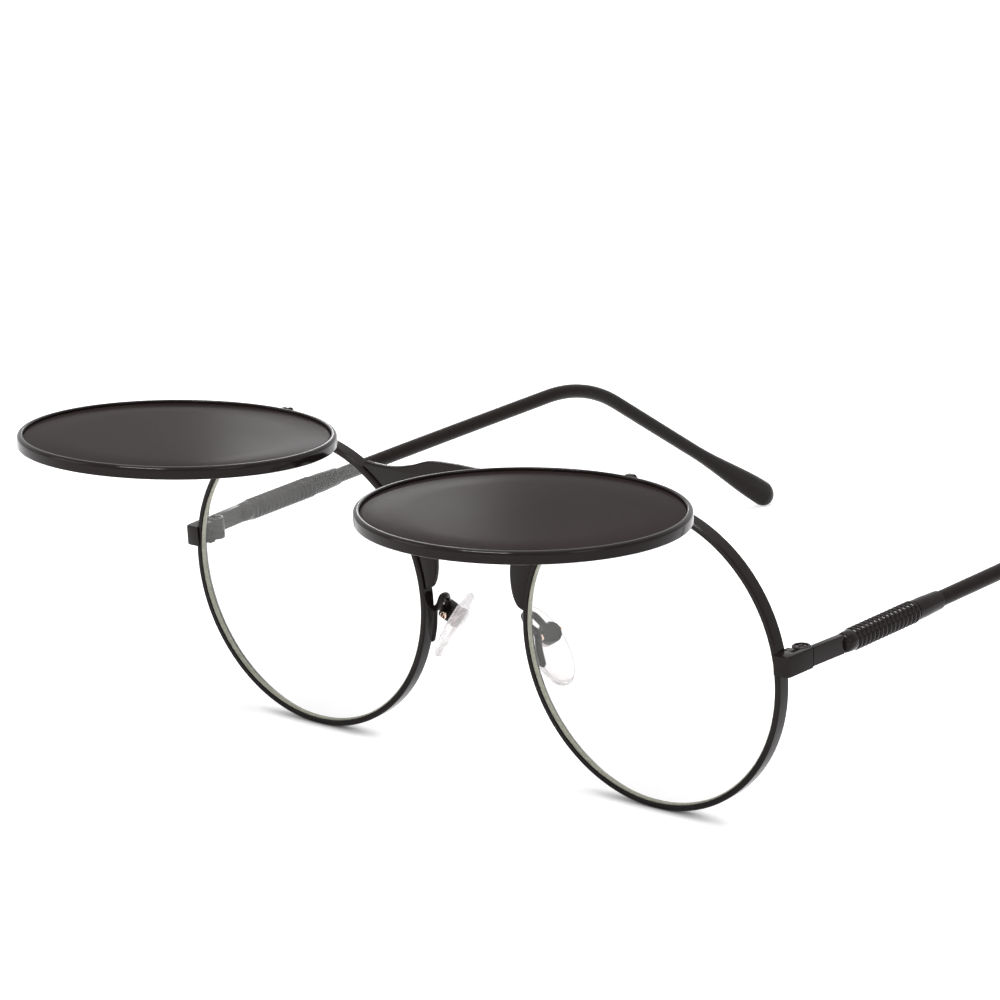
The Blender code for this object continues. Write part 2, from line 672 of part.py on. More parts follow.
def tube_runs(first, last):
    """Distances along the temple at which a tube over it has rings."""
    bend_end = BEND_START + BEND_RADIUS * radians(BEND_DEG)
    runs = [first + (BEND_START - first) * step / TUBE_STEPS for step in range(TUBE_STEPS)]
    runs += [BEND_START + (bend_end - BEND_START) * step / BEND_STEPS for step in range(BEND_STEPS)]
    past = max(1, ceil(TIP_STEPS * (last - bend_end) / TIP_RUN))
    return runs + [bend_end + (last - bend_end) * step / past for step in range(past + 1)]


def temple_core(name, side, look, parent):
    """The wire inside the temple, from the bar's end into the tip."""
    rings = [
        route_ring(run, side, CORE_RADIUS, CORE_RADIUS, CORE_SEGMENTS)
        for run in tube_runs(BAR_END + SEAT_GAP, CORE_END)
    ]
    finish(f"temple_core_{name}", skin(rings), look, parent)


def tip_half_sizes(run):
    """Half width and half height of the temple's covering at a distance along it."""
    left = temple_length() - run
    share = min(max(1 - (left - TIP_END_ROUND) / (TIP_FLARE - TIP_END_ROUND), 0.0), 1.0)
    swell = share * share * (3 - 2 * share)
    width = TUBE_RADIUS + (TIP_HALF_WIDTH - TUBE_RADIUS) * swell
    height = TUBE_RADIUS + (TIP_HALF_HEIGHT - TUBE_RADIUS) * swell
    rounding = 1.0
    if left < TIP_END_ROUND:
        rounding = sqrt(max(1 - (1 - left / TIP_END_ROUND) ** 2, 0.0))
    return width * rounding, height * rounding


def tip_rings(side):
    """Rings of the covering's outside, from its front to its rounded end."""
    round_start = temple_length() - TIP_END_ROUND
    turns = [pi / 2 * step / TIP_ROUND_STEPS for step in range(1, TIP_ROUND_STEPS)]
    runs = tube_runs(TIP_START, round_start) + [round_start + TIP_END_ROUND * sin(turn) for turn in turns]
    return [route_ring(run, side, *tip_half_sizes(run), TUBE_SEGMENTS) for run in runs]


def temple_tip(name, side, look, parent):
    """The long plastic covering: a tube over the core that bends down and swells to a rounded tip."""
    bore = CORE_RADIUS + SEAT_GAP
    bore_runs = tube_runs(TIP_START, CORE_END + BORE_OVERRUN)
    inner = [route_ring(run, side, bore, bore, TUBE_SEGMENTS) for run in bore_runs]
    finish(f"temple_tip_{name}", skin([*reversed(tip_rings(side)), *inner]), look, parent)


def round_end(centre, start_deg, sweep_deg, steps):
    """Points of a flip knuckle's round end about its axis."""
    turns = [radians(start_deg + sweep_deg * step / steps) for step in range(steps + 1)]
    radius = FLIP_KNUCKLE_RADIUS
    return [(centre[0] + radius * cos(turn), centre[1] + radius * sin(turn)) for turn in turns]


def flip_bracket(name, side, look, screw_look, parent):
    """The clevis on top of the rim that carries the flip lens, and its pin."""
    tag = f"flip_bracket_{name}"
    centre = side * RING_X
    half_gap = FLIP_KNUCKLE_WIDTH / 2 + HINGE_FACE_GAP
    half_width = half_gap + FLIP_EAR_WALL
    half_rim = RIM_DEPTH / 2
    seat = RIM_RADIUS + SEAT_GAP
    hinge = (-FLIP_AXIS_FORWARD, FLIP_AXIS_UP)
    round_edge = round_end(hinge, EAR_ROUND_START_DEG, EAR_ROUND_DEG, EAR_ROUND_STEPS)
    profile = [(half_rim, seat), (half_rim, seat + FLIP_BASE_WALL), *round_edge, (-half_rim, seat)]
    bracket = finish(tag, prism(profile, centre - half_width, centre + half_width, "x"), look, parent)
    slot_reach = FLIP_KNUCKLE_RADIUS + 2 * FLIP_BASE_WALL
    slot = [
        (-FLIP_AXIS_FORWARD - slot_reach, seat + FLIP_BASE_WALL),
        (half_rim + CUT_OVERRUN, seat + FLIP_BASE_WALL),
        (half_rim + CUT_OVERRUN, FLIP_AXIS_UP + slot_reach),
        (-FLIP_AXIS_FORWARD - slot_reach, FLIP_AXIS_UP + slot_reach),
    ]
    slot_cut = finish(f"{tag}_slot", prism(slot, centre - half_gap, centre + half_gap, "x"), None, parent)
    combine(bracket, slot_cut, "DIFFERENCE")
    along = Matrix.Translation((centre, -FLIP_AXIS_FORWARD, FLIP_AXIS_UP)) @ Matrix.Rotation(pi / 2, 4, "Y")
    knuckle_room = cylinder(
        f"{tag}_knuckle_room", FLIP_KNUCKLE_RADIUS + 2 * RUNNING_GAP, -half_gap, half_gap, parent, along
    )
    combine(bracket, knuckle_room, "DIFFERENCE")
    bore = FLIP_SHAFT_RADIUS + THREAD_GAP
    reach = half_width + CUT_OVERRUN
    combine(bracket, cylinder(f"{tag}_bore", bore, -reach, reach, parent, along, SCREW_SEGMENTS), "DIFFERENCE")
    headed_screw(
        f"flip_pin_{name}",
        FLIP_SHAFT_RADIUS,
        FLIP_HEAD_RADIUS,
        FLIP_HEAD_HEIGHT,
        -half_width,
        half_width + THREAD_GAP + FLIP_HEAD_HEIGHT,
        screw_look,
        parent,
        along,
        cross=False,
    )


def flip_rim(name, look, parent):
    """The flip lens's rim with its lug, which ends in a round knuckle, drawn closed about the hinge axis."""
    tag = f"flip_rim_{name}"
    half_depth = FLIP_RIM_DEPTH / 2
    rim = finish(tag, whole_rim(half_depth), look, parent, Matrix.Translation(FLIP_CENTRE))
    rim_top = RIM_RADIUS + FLIP_CENTRE.z
    lug_half_depth = half_depth - RIM_CHAMFER - FLIP_LUG_INSET
    lug_front = FLIP_CENTRE.y - lug_half_depth
    lug_back = FLIP_CENTRE.y + lug_half_depth
    root = rim_top - (RIM_WALL - GROOVE_DEPTH) / 2
    profile = [
        (lug_back, root),
        (lug_back, rim_top + RIM_CHAMFER),
        *round_end((0.0, 0.0), LUG_ROUND_START_DEG, LUG_ROUND_DEG, LUG_ROUND_STEPS),
        (lug_front, rim_top + FLIP_LUG_WALL),
        (lug_front, root),
    ]
    half_width = FLIP_KNUCKLE_WIDTH / 2
    lug = finish(f"{tag}_lug", prism(profile, -half_width, half_width, "x"), None, parent)
    combine(rim, lug, "UNION")
    along = Matrix.Rotation(pi / 2, 4, "Y")
    bore = FLIP_SHAFT_RADIUS + RUNNING_GAP
    reach = half_width + CUT_OVERRUN
    combine(rim, cylinder(f"{tag}_bore", bore, -reach, reach, parent, along, SCREW_SEGMENTS), "DIFFERENCE")


def dark_lens(name, look, parent):
    """The flat tinted lens in the flip rim."""
    shape = lens(DARK_LENS_THICKNESS, FLIP_RIM_DEPTH / 2, 0.0)
    finish(f"dark_lens_{name}", shape, look, parent, Matrix.Translation(FLIP_CENTRE))


def pad_frame(side):
    """The pad's frame in the front's: x towards the nose, z up along the pad, origin on the rocking screw."""
    lean = radians(PAD_FRONTAL_DEG)
    splay = radians(PAD_SPLAY_DEG)
    up = Vector((-side * sin(lean), 0.0, cos(lean)))
    flat = Vector((-side * cos(lean), 0.0, -sin(lean)))
    towards_nose = (flat * cos(splay) + Vector((0.0, 1.0, 0.0)) * sin(splay)).normalized()
    across = up.cross(towards_nose)
    turn = Matrix((towards_nose, across, up)).transposed().to_4x4()
    return Matrix.Translation((side * PAD_OUT, PAD_BACK, -PAD_DROP)) @ turn


def nose_pad(name, side, look, parent):
    """The clear oval pad with the stem that the screw goes through, drawn in its own frame."""
    tag = f"nose_pad_{name}"
    rings = []
    for height_share, size_share in PAD_SECTION_SHARES:
        level = PAD_STANDOFF + PAD_THICKNESS * height_share
        ring = []
        for x, y in disc(1.0, PAD_SEGMENTS):
            narrowing = 1 - PAD_NARROWING_SHARE * y
            width = PAD_WIDTH / 2 * x * size_share * narrowing
            length = PAD_LENGTH / 2 * y * size_share
            ring.append((level, width, length - PAD_SCREW_ABOVE_CENTRE))
        rings.append(ring)
    pad = finish(tag, skin(rings), look, parent)
    to_nose = Matrix.Rotation(pi / 2, 4, "Y")
    stem_end = PAD_STANDOFF + PAD_STEM_SINK
    stem = cylinder(f"{tag}_stem", PAD_STEM_RADIUS, -PAD_STEM_REACH, stem_end, parent, to_nose, SCREW_SEGMENTS)
    combine(pad, stem, "UNION")
    along = Matrix.Rotation(-side * pi / 2, 4, "X")
    reach = PAD_BOX_RADIUS
    bore = PAD_SHAFT_RADIUS + PAD_STEM_BORE_GAP
    combine(pad, cylinder(f"{tag}_bore", bore, -reach, reach, parent, along, SCREW_SEGMENTS), "DIFFERENCE")


def pad_box(name, side, look, screw_look, parent, matrix):
    """The metal box that holds the pad's stem, with its cross screw."""
    tag = f"pad_box_{name}"
    to_nose = matrix @ Matrix.Rotation(pi / 2, 4, "Y")
    profile = [
        (PAD_BOX_RADIUS - PAD_BOX_CHAMFER, -PAD_BOX_BACK),
        (PAD_BOX_RADIUS, -PAD_BOX_BACK + PAD_BOX_CHAMFER),
        (PAD_BOX_RADIUS, PAD_BOX_FRONT),
    ]
    box = finish(tag, turned(profile, KNUCKLE_SEGMENTS), look, parent, to_nose)
    socket = cylinder(
        f"{tag}_socket",
        PAD_SOCKET_RADIUS,
        PAD_BOX_FLOOR - PAD_BOX_BACK,
        PAD_BOX_FRONT + CUT_OVERRUN,
        parent,
        to_nose,
        SCREW_SEGMENTS,
    )
    combine(box, socket, "DIFFERENCE")
    along = matrix @ Matrix.Rotation(-side * pi / 2, 4, "X")
    reach = PAD_BOX_RADIUS + CUT_OVERRUN
    bore = PAD_SHAFT_RADIUS + THREAD_GAP
    combine(box, cylinder(f"{tag}_bore", bore, -reach, reach, parent, along, SCREW_SEGMENTS), "DIFFERENCE")
    headed_screw(
        f"pad_screw_{name}",
        PAD_SHAFT_RADIUS,
        PAD_HEAD_RADIUS,
        PAD_HEAD_HEIGHT,
        -PAD_BOX_RADIUS - PAD_SHAFT_TAIL,
        PAD_BOX_RADIUS + THREAD_GAP + PAD_HEAD_HEIGHT,
        screw_look,
        parent,
        along,
        cross=False,
    )


def pad_arm(name, side, look, parent, matrix):
    """The bent wire from a foot on the back of the rim up and over to the pad's box."""
    foot_radius = RIM_RADIUS - RIM_WALL / 2
    foot_depth = RIM_DEPTH / 2 + SEAT_GAP + PAD_WIRE_RADIUS
    middle = pi + radians(PAD_FOOT_TOP_DEG)
    foot = []
    for share in PAD_FOOT_SHARES:
        angle = middle + radians(PAD_FOOT_LENGTH_DEG) * share
        foot.append(Vector((RING_X + foot_radius * cos(angle), foot_depth, foot_radius * sin(angle))))
    behind = -PAD_BOX_BACK - SEAT_GAP - PAD_WIRE_RADIUS
    above, meet = [matrix @ Vector((behind, 0.0, PAD_BOX_RADIUS * share)) for share in PAD_MEET_SHARES]
    above.x *= side
    meet.x *= side
    loop = [NOSE_EDGE + PAD_RISE_FROM_RIM, NOSE_EDGE + PAD_PEAK_FROM_RIM]
    points = smooth_curve([*foot, *loop, above, meet], PAD_WIRE_STEPS)
    rings = []
    for index, point in enumerate(points):
        before = points[max(index - 1, 0)]
        after = points[min(index + 1, len(points) - 1)]
        tangent = (after - before).normalized()
        ring = swept_ring(point, tangent, PAD_WIRE_RADIUS, PAD_WIRE_RADIUS, PAD_WIRE_SEGMENTS, PAD_WIRE_HINT)
        rings.append([Vector((side * spot.x, spot.y, spot.z)) for spot in ring])
    finish(f"pad_arm_{name}", skin(rings), look, parent)


def tip_spots():
    """Depth and height of the temple covering's points in the front's frame."""
    return [(HINGE_BACK + point.y, HINGE_UP + point.z) for ring in tip_rings(1) for point in ring]


def front_matrix():
    """Stands the rims and the temple tips on the floor, with the whole object centred over the origin."""
    rim_low = RIM_RADIUS * min(sin(angle) for angle in split_angles())
    rim_front = RIM_CHAMFER - RIM_DEPTH / 2
    tilt = max(atan2(rim_low - up, back - rim_front) for back, up in tip_spots())
    turn = Matrix.Rotation(tilt, 4, "X")
    floor = (turn @ Vector((0.0, rim_front, rim_low))).z
    rear = max((turn @ Vector((0.0, back, up))).y for back, up in tip_spots())
    opening = radians(FLIP_OPEN_DEG["left"])
    to_centre = Matrix.Rotation(-opening, 3, "X") @ FLIP_CENTRE
    centre = Vector((0.0, -FLIP_AXIS_FORWARD, FLIP_AXIS_UP)) + to_centre
    lean = opening - tilt - pi / 2
    fore = (turn @ centre).y - RIM_RADIUS * cos(lean) - (FLIP_RIM_DEPTH / 2 - RIM_CHAMFER) * abs(sin(lean))
    return Matrix.Translation((0.0, -(rear + fore) / 2, -floor)) @ turn


def main():
    for stale in list(bpy.data.objects):
        bpy.data.objects.remove(stale)

    lacquer = material("black lacquered metal", (0.018, 0.017, 0.017), 0.35, 0.9)
    tip_black = material("black plastic", (0.014, 0.013, 0.013), 0.38)
    clear = material("clear lens", (0.93, 0.95, 0.93), 0.02, alpha=0.12)
    tinted = material("dark lens", (0.035, 0.03, 0.032), 0.06, alpha=0.9)
    soft_clear = material("clear silicone", (0.9, 0.9, 0.9), 0.12, alpha=0.45)
    gold = material("gilt screw", (0.72, 0.55, 0.4), 0.25, 1.0)
    steel = material("dark steel", (0.1, 0.09, 0.09), 0.35, 1.0)

    front = empty("front", matrix=front_matrix())
    bridge_plate(lacquer, front)
    for name, side in SIDES.items():
        ring_place = Matrix.Translation((side * RING_X, 0.0, 0.0))
        finish(f"rim_{name}", split_rim(side), lacquer, front, ring_place)
        clear_shape = lens(LENS_THICKNESS, RIM_DEPTH / 2, LENS_CROWN)
        finish(f"clear_lens_{name}", clear_shape, clear, front, ring_place)
        end_piece(name, side, lacquer, front)
        closing_blocks(name, side, lacquer, steel, front)
        hinge_screw(name, side, steel, front)
        flip_bracket(name, side, lacquer, steel, front)

        pad_place = pad_frame(side)
        pad_arm(name, side, lacquer, front, pad_place)
        pad_box(name, side, lacquer, gold, front, pad_place)
        nose_pad(name, side, soft_clear, empty(f"pad_{name}_pivot", front, pad_place))

        hinge_place = Matrix.Translation((side * HINGE_OUT, HINGE_BACK, HINGE_UP))
        temple = empty(f"temple_{name}_pivot", front, hinge_place)
        temple_bar(name, side, lacquer, temple)
        ribbed_sleeve(name, side, lacquer, temple)
        temple_collar(name, side, lacquer, temple)
        temple_core(name, side, steel, temple)
        temple_tip(name, side, tip_black, temple)

        opened = Matrix.Rotation(-radians(FLIP_OPEN_DEG[name]), 4, "X")
        flip_place = Matrix.Translation((side * RING_X, -FLIP_AXIS_FORWARD, FLIP_AXIS_UP)) @ opened
        flip = empty(f"flip_{name}_pivot", front, flip_place)
        flip_rim(name, lacquer, flip)
        dark_lens(name, tinted, flip)


main()
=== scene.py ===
"""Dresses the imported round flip-up sunglasses: fine geometry, finishes, camera and a small white studio.

Lengths are in metres and +Z is up. The wearer looks along -Y and the wearer's left is +X. Pieces of the
front are drawn upright about the middle between the two rings, as on a drawing board, and are then tipped
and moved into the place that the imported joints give.
"""

import json
import logging
from collections.abc import Callable, Iterator, Sequence
from contextlib import contextmanager
from dataclasses import dataclass, field
from enum import Enum
from math import asin, atan2, cos, pi, radians, sin, sqrt, tan

import bmesh
import bpy
from mathutils import Matrix, Vector

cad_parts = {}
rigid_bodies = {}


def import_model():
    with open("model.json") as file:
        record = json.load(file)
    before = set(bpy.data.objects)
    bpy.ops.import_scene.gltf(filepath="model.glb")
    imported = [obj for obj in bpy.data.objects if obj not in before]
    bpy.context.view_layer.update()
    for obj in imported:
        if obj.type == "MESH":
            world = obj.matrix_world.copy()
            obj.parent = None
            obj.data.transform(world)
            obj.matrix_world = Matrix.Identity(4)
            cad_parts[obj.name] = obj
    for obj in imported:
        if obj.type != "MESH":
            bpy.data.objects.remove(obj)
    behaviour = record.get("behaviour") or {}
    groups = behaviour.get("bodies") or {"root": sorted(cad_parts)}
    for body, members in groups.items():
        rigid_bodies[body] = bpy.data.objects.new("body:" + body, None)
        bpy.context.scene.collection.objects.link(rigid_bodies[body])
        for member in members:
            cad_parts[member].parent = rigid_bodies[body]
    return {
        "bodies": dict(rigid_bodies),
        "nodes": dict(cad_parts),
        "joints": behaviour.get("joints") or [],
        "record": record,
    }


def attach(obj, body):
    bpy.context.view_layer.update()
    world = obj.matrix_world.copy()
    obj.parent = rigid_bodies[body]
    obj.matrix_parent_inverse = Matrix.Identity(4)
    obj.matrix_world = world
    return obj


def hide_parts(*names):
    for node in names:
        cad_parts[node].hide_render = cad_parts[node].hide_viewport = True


LOG = logging.getLogger("sunglasses")
FRONT = "front"
ORIGIN = (0.0, 0.0, 0.0)
MERGE_DISTANCE = 0.000005
SMOOTH_ANGLE = radians(35)
CREASE_ANGLE = radians(30)
ROD_SEGMENTS = 48
EDGE_STEPS = 2
SPLINE_STEPS = 8
WIRE_END_SHARE = 0.55
WIRE_REACH_SHARE = 0.6


class Side(Enum):
    """The wearer's two sides, as nodes, joints and pieces name them."""

    LEFT = "left"
    RIGHT = "right"


class Axis(Enum):
    """The direction that a drawn outline is pulled out along, as the rows that turn it there."""

    X = ((0, 0, 1), (1, 0, 0), (0, 1, 0))
    Y = ((1, 0, 0), (0, 0, 1), (0, 1, 0))
    Z = ((1, 0, 0), (0, 1, 0), (0, 0, 1))


class Join(Enum):
    """What a tool does to a piece."""

    CUT = "DIFFERENCE"
    ADD = "UNION"


@dataclass(frozen=True)
class Station:
    """One ring of a swept piece.

    Args:
        centre: middle of the ring.
        half_width: half size along x.
        half_height: half size across x.
        slope: angle in radians by which the sweep dips below +Y here.
    """

    centre: Vector
    half_width: float
    half_height: float
    slope: float = 0.0


def select_only(piece: bpy.types.Object) -> None:
    """Makes one piece the only one selected, and the active one.

    Args:
        piece: the piece to select.
    """
    if bpy.context.mode != "OBJECT":
        bpy.ops.object.mode_set(mode="OBJECT")
    bpy.ops.object.select_all(action="DESELECT")
    piece.select_set(True)
    bpy.context.view_layer.objects.active = piece


@contextmanager
def editing(piece: bpy.types.Object) -> Iterator[None]:
    """Opens a piece in edit mode with everything selected, and closes it again.

    Args:
        piece: the piece to shape.
    """
    select_only(piece)
    bpy.ops.object.mode_set(mode="EDIT")
    bpy.ops.mesh.select_mode(type="VERT")
    bpy.ops.mesh.select_all(action="SELECT")
    yield
    bpy.ops.object.mode_set(mode="OBJECT")


def select_where(piece: bpy.types.Object, test: Callable[[Vector], bool]) -> None:
    """Selects the vertices of the piece in edit mode whose place passes a test, and nothing else.

    Args:
        piece: the piece in edit mode.
        test: says whether a place is wanted.
    """
    bpy.ops.mesh.select_all(action="DESELECT")
    shape = bmesh.from_edit_mesh(piece.data)
    for vertex in shape.verts:
        vertex.select = test(vertex.co)
    shape.select_flush_mode()
    bmesh.update_edit_mesh(piece.data)


def apply_place(piece: bpy.types.Object) -> bpy.types.Object:
    """Moves a piece's place into its mesh.

    Args:
        piece: the piece, moved, turned or scaled as an object.

    Returns:
        The same piece, with its object at the origin.
    """
    select_only(piece)
    bpy.ops.object.transform_apply(location=True, rotation=True, scale=True)
    return piece


def rename(piece: bpy.types.Object, name: str) -> bpy.types.Object:
    """Gives a piece and its data one name."""
    piece.name = piece.data.name = name
    return piece


def named(name: str) -> bpy.types.Object:
    """Names the object that an operator has just made and moves its place into its mesh."""
    return apply_place(rename(bpy.context.active_object, name))


def smooth(piece: bpy.types.Object, angle: float = SMOOTH_ANGLE) -> bpy.types.Object:
    """Closes seams, turns faces outwards and shades the piece smooth.

    Args:
        piece: the piece to finish.
        angle: the widest angle between two faces that still shades smooth, in radians.

    Returns:
        The same piece.
    """
    with editing(piece):
        bpy.ops.mesh.remove_doubles(threshold=MERGE_DISTANCE)
        bpy.ops.mesh.normals_make_consistent(inside=False)
    select_only(piece)
    bpy.ops.object.shade_smooth_by_angle(angle=angle)
    return piece


def put(piece: bpy.types.Object, place: Matrix) -> bpy.types.Object:
    """Moves a piece from the drawing board to its place."""
    piece.matrix_world = place
    return apply_place(piece)


def duplicate(piece: bpy.types.Object, name: str) -> bpy.types.Object:
    """Copies a piece in place.

    Args:
        piece: the piece to copy.
        name: name of the copy.

    Returns:
        The copy, with its own mesh.
    """
    select_only(piece)
    bpy.ops.object.duplicate(linked=False)
    return rename(bpy.context.active_object, name)


def mirrored(piece: bpy.types.Object, name: str) -> bpy.types.Object:
    """Copies a piece to the other side of the middle plane.

    Args:
        piece: the piece to copy.
        name: name of the copy.

    Returns:
        The copy, with its own mesh.
    """
    twin = duplicate(piece, name)
    with editing(twin):
        bpy.ops.transform.resize(value=(-1.0, 1.0, 1.0), center_override=ORIGIN)
        bpy.ops.mesh.normals_make_consistent(inside=False)
    return twin


def carve(piece: bpy.types.Object, tool: bpy.types.Object, join: Join = Join.CUT) -> bpy.types.Object:
    """Cuts a tool out of a piece, or adds it, and throws the tool away.

    Args:
        piece: the piece to change.
        tool: the closed solid that cuts or is added.
        join: whether it cuts or is added.

    Returns:
        The same piece.
    """
    select_only(piece)
    step = piece.modifiers.new("carve", "BOOLEAN")
    step.operation = join.value
    step.object = tool
    step.solver = "EXACT"
    bpy.ops.object.modifier_apply(modifier=step.name)
    bpy.data.objects.remove(tool)
    return piece


def soften(piece: bpy.types.Object, width: float) -> bpy.types.Object:
    """Rounds a piece's sharp edges.

    Args:
        piece: the piece to round.
        width: how far the rounding reaches from the edge.

    Returns:
        The same piece.
    """
    select_only(piece)
    step = piece.modifiers.new("soften", "BEVEL")
    step.width = width
    step.segments = EDGE_STEPS
    step.limit_method = "ANGLE"
    bpy.ops.object.modifier_apply(modifier=step.name)
    return piece


def sweep(name: str, stations: Sequence[Station], segments: int) -> bpy.types.Object:
    """Pulls a filled circle along stations that follow +Y.

    Args:
        name: name of the piece.
        stations: rings in order.
        segments: corners of each ring.

    Returns:
        The closed piece.
    """
    first = stations[0]
    bpy.ops.mesh.primitive_circle_add(
        vertices=segments,
        radius=first.half_width,
        fill_type="NGON",
        location=first.centre,
        rotation=(pi / 2, 0.0, 0.0),
    )
    piece = named(name)
    with editing(piece):
        height = first.half_height / first.half_width
        bpy.ops.transform.resize(value=(1.0, 1.0, height), center_override=first.centre)
        bpy.ops.transform.rotate(value=first.slope, orient_axis="X", center_override=first.centre)
        for before, after in zip(stations, stations[1:]):
            move = after.centre - before.centre
            bpy.ops.mesh.extrude_region_move(TRANSFORM_OT_translate={"value": move})
            wide = after.half_width / before.half_width
            high = after.half_height / before.half_height
            bpy.ops.transform.resize(value=(wide, high, high), center_override=after.centre)
            if after.slope != before.slope:
                bpy.ops.transform.rotate(
                    value=after.slope - before.slope, orient_axis="X", center_override=after.centre
                )
    return smooth(piece)


def turned(name: str, profile: Sequence[tuple[float, float]], segments: int) -> bpy.types.Object:
    """A solid of revolution about the y axis from (radius, depth) pairs."""
    stations = [Station(Vector((0.0, depth, 0.0)), radius, radius) for radius, depth in profile]
    return sweep(name, stations, segments)


def rod(name: str, radius: float, low: float, high: float, segments: int = ROD_SEGMENTS) -> bpy.types.Object:
    """A plain cylinder along z, used to cut and to add.

    Args:
        name: name of the piece.
        radius: radius of the cylinder.
        low: height of its lower end.
        high: height of its upper end.
        segments: corners of its circle.

    Returns:
        The cylinder.
    """
    bpy.ops.mesh.primitive_cylinder_add(
        vertices=segments, radius=radius, depth=high - low, location=(0.0, 0.0, (low + high) / 2)
    )
    return named(name)


def block(name: str, size: Vector, centre: Vector) -> bpy.types.Object:
    """A box at its size and place, used to cut.

    Args:
        name: name of the piece.
        size: its three sizes.
        centre: its middle.

    Returns:
        The box.
    """
    bpy.ops.mesh.primitive_cube_add(size=1.0, location=centre)
    piece = named(name)
    with editing(piece):
        bpy.ops.transform.resize(value=size, center_override=centre)
    return piece


def curve_through(points: Sequence[Vector]) -> list[Vector]:
    """Draws a smooth curve that passes through points, by the Catmull-Rom formula.

    Args:
        points: the points in order.

    Returns:
        The points of the curve, with the last given point as its last.
    """
    ends = [2 * points[0] - points[1], *points, 2 * points[-1] - points[-2]]
    found = []
    for a, b, c, d in zip(ends, ends[1:], ends[2:], ends[3:]):
        for step in range(SPLINE_STEPS):
            t = step / SPLINE_STEPS
            bend = (2 * a - 5 * b + 4 * c - d) * t * t + (3 * b - a - 3 * c + d) * t**3
            found.append(0.5 * (2 * b + (c - a) * t + bend))
    return [*found, points[-1]]


def drawn_line(name: str, points: Sequence[Vector], dimensions: str) -> bpy.types.Object:
    """Draws a curve object with straight stretches between points.

    Args:
        name: name of the piece.
        points: corners of the line, with two or three coordinates.
        dimensions: Blender's name for a flat or a free curve.

    Returns:
        The curve, not yet a mesh.
    """
    bpy.ops.curve.primitive_bezier_curve_add(location=ORIGIN)
    piece = rename(bpy.context.active_object, name)
    drawn = piece.data
    drawn.dimensions = dimensions
    drawn.splines.clear()
    line = drawn.splines.new("POLY")
    line.points.add(len(points) - 1)
    for corner, place in zip(line.points, points):
        corner.co = (*place.to_3d(), 1.0)
    return piece


def to_mesh(piece: bpy.types.Object) -> bpy.types.Object:
    """Turns a drawn curve into a mesh.

    Args:
        piece: the curve.

    Returns:
        The mesh, under the same name.
    """
    name = piece.name
    select_only(piece)
    bpy.ops.object.convert(target="MESH")
    return rename(bpy.context.active_object, name)


def plate(
    name: str, outline: Sequence[Vector], thickness: float, rounding: float, axis: Axis
) -> bpy.types.Object:
    """Cuts a flat plate with rounded edges out along an outline.

    Args:
        name: name of the piece.
        outline: corners as (x, y) for a plate that is thick along z, (x, z) along y or (y, z) along x.
        thickness: full thickness, centred on the drawing plane.
        rounding: radius of the rounded edges.
        axis: the direction of the thickness.

    Returns:
        The plate as a mesh.
    """
    piece = drawn_line(name, outline, "2D")
    drawn = piece.data
    drawn.fill_mode = "BOTH"
    drawn.splines[0].use_cyclic_u = True
    drawn.extrude = thickness / 2 - rounding
    drawn.bevel_depth = rounding
    drawn.bevel_resolution = EDGE_STEPS
    drawn.offset = -rounding
    return smooth(put(to_mesh(piece), Matrix(axis.value).to_4x4()), CREASE_ANGLE)


def wire(name: str, points: Sequence[Vector], radius: float, segments: int) -> bpy.types.Object:
    """Draws a round wire with rounded ends along points.

    Args:
        name: name of the piece.
        points: the wire's middle line.
        radius: radius of the wire.
        segments: faces round the wire.

    Returns:
        The wire as a mesh.
    """
    reach = radius * WIRE_REACH_SHARE
    tip = points[0] + (points[0] - points[1]).normalized() * reach
    end = points[-1] + (points[-1] - points[-2]).normalized() * reach
    piece = drawn_line(name, [tip, *points, end], "3D")
    drawn = piece.data
    corners = drawn.splines[0].points
    for corner in corners:
        corner.radius = 1.0
    corners[0].radius = corners[-1].radius = WIRE_END_SHARE
    drawn.bevel_depth = radius
    drawn.bevel_resolution = segments // 4
    drawn.use_fill_caps = True
    return smooth(to_mesh(piece))


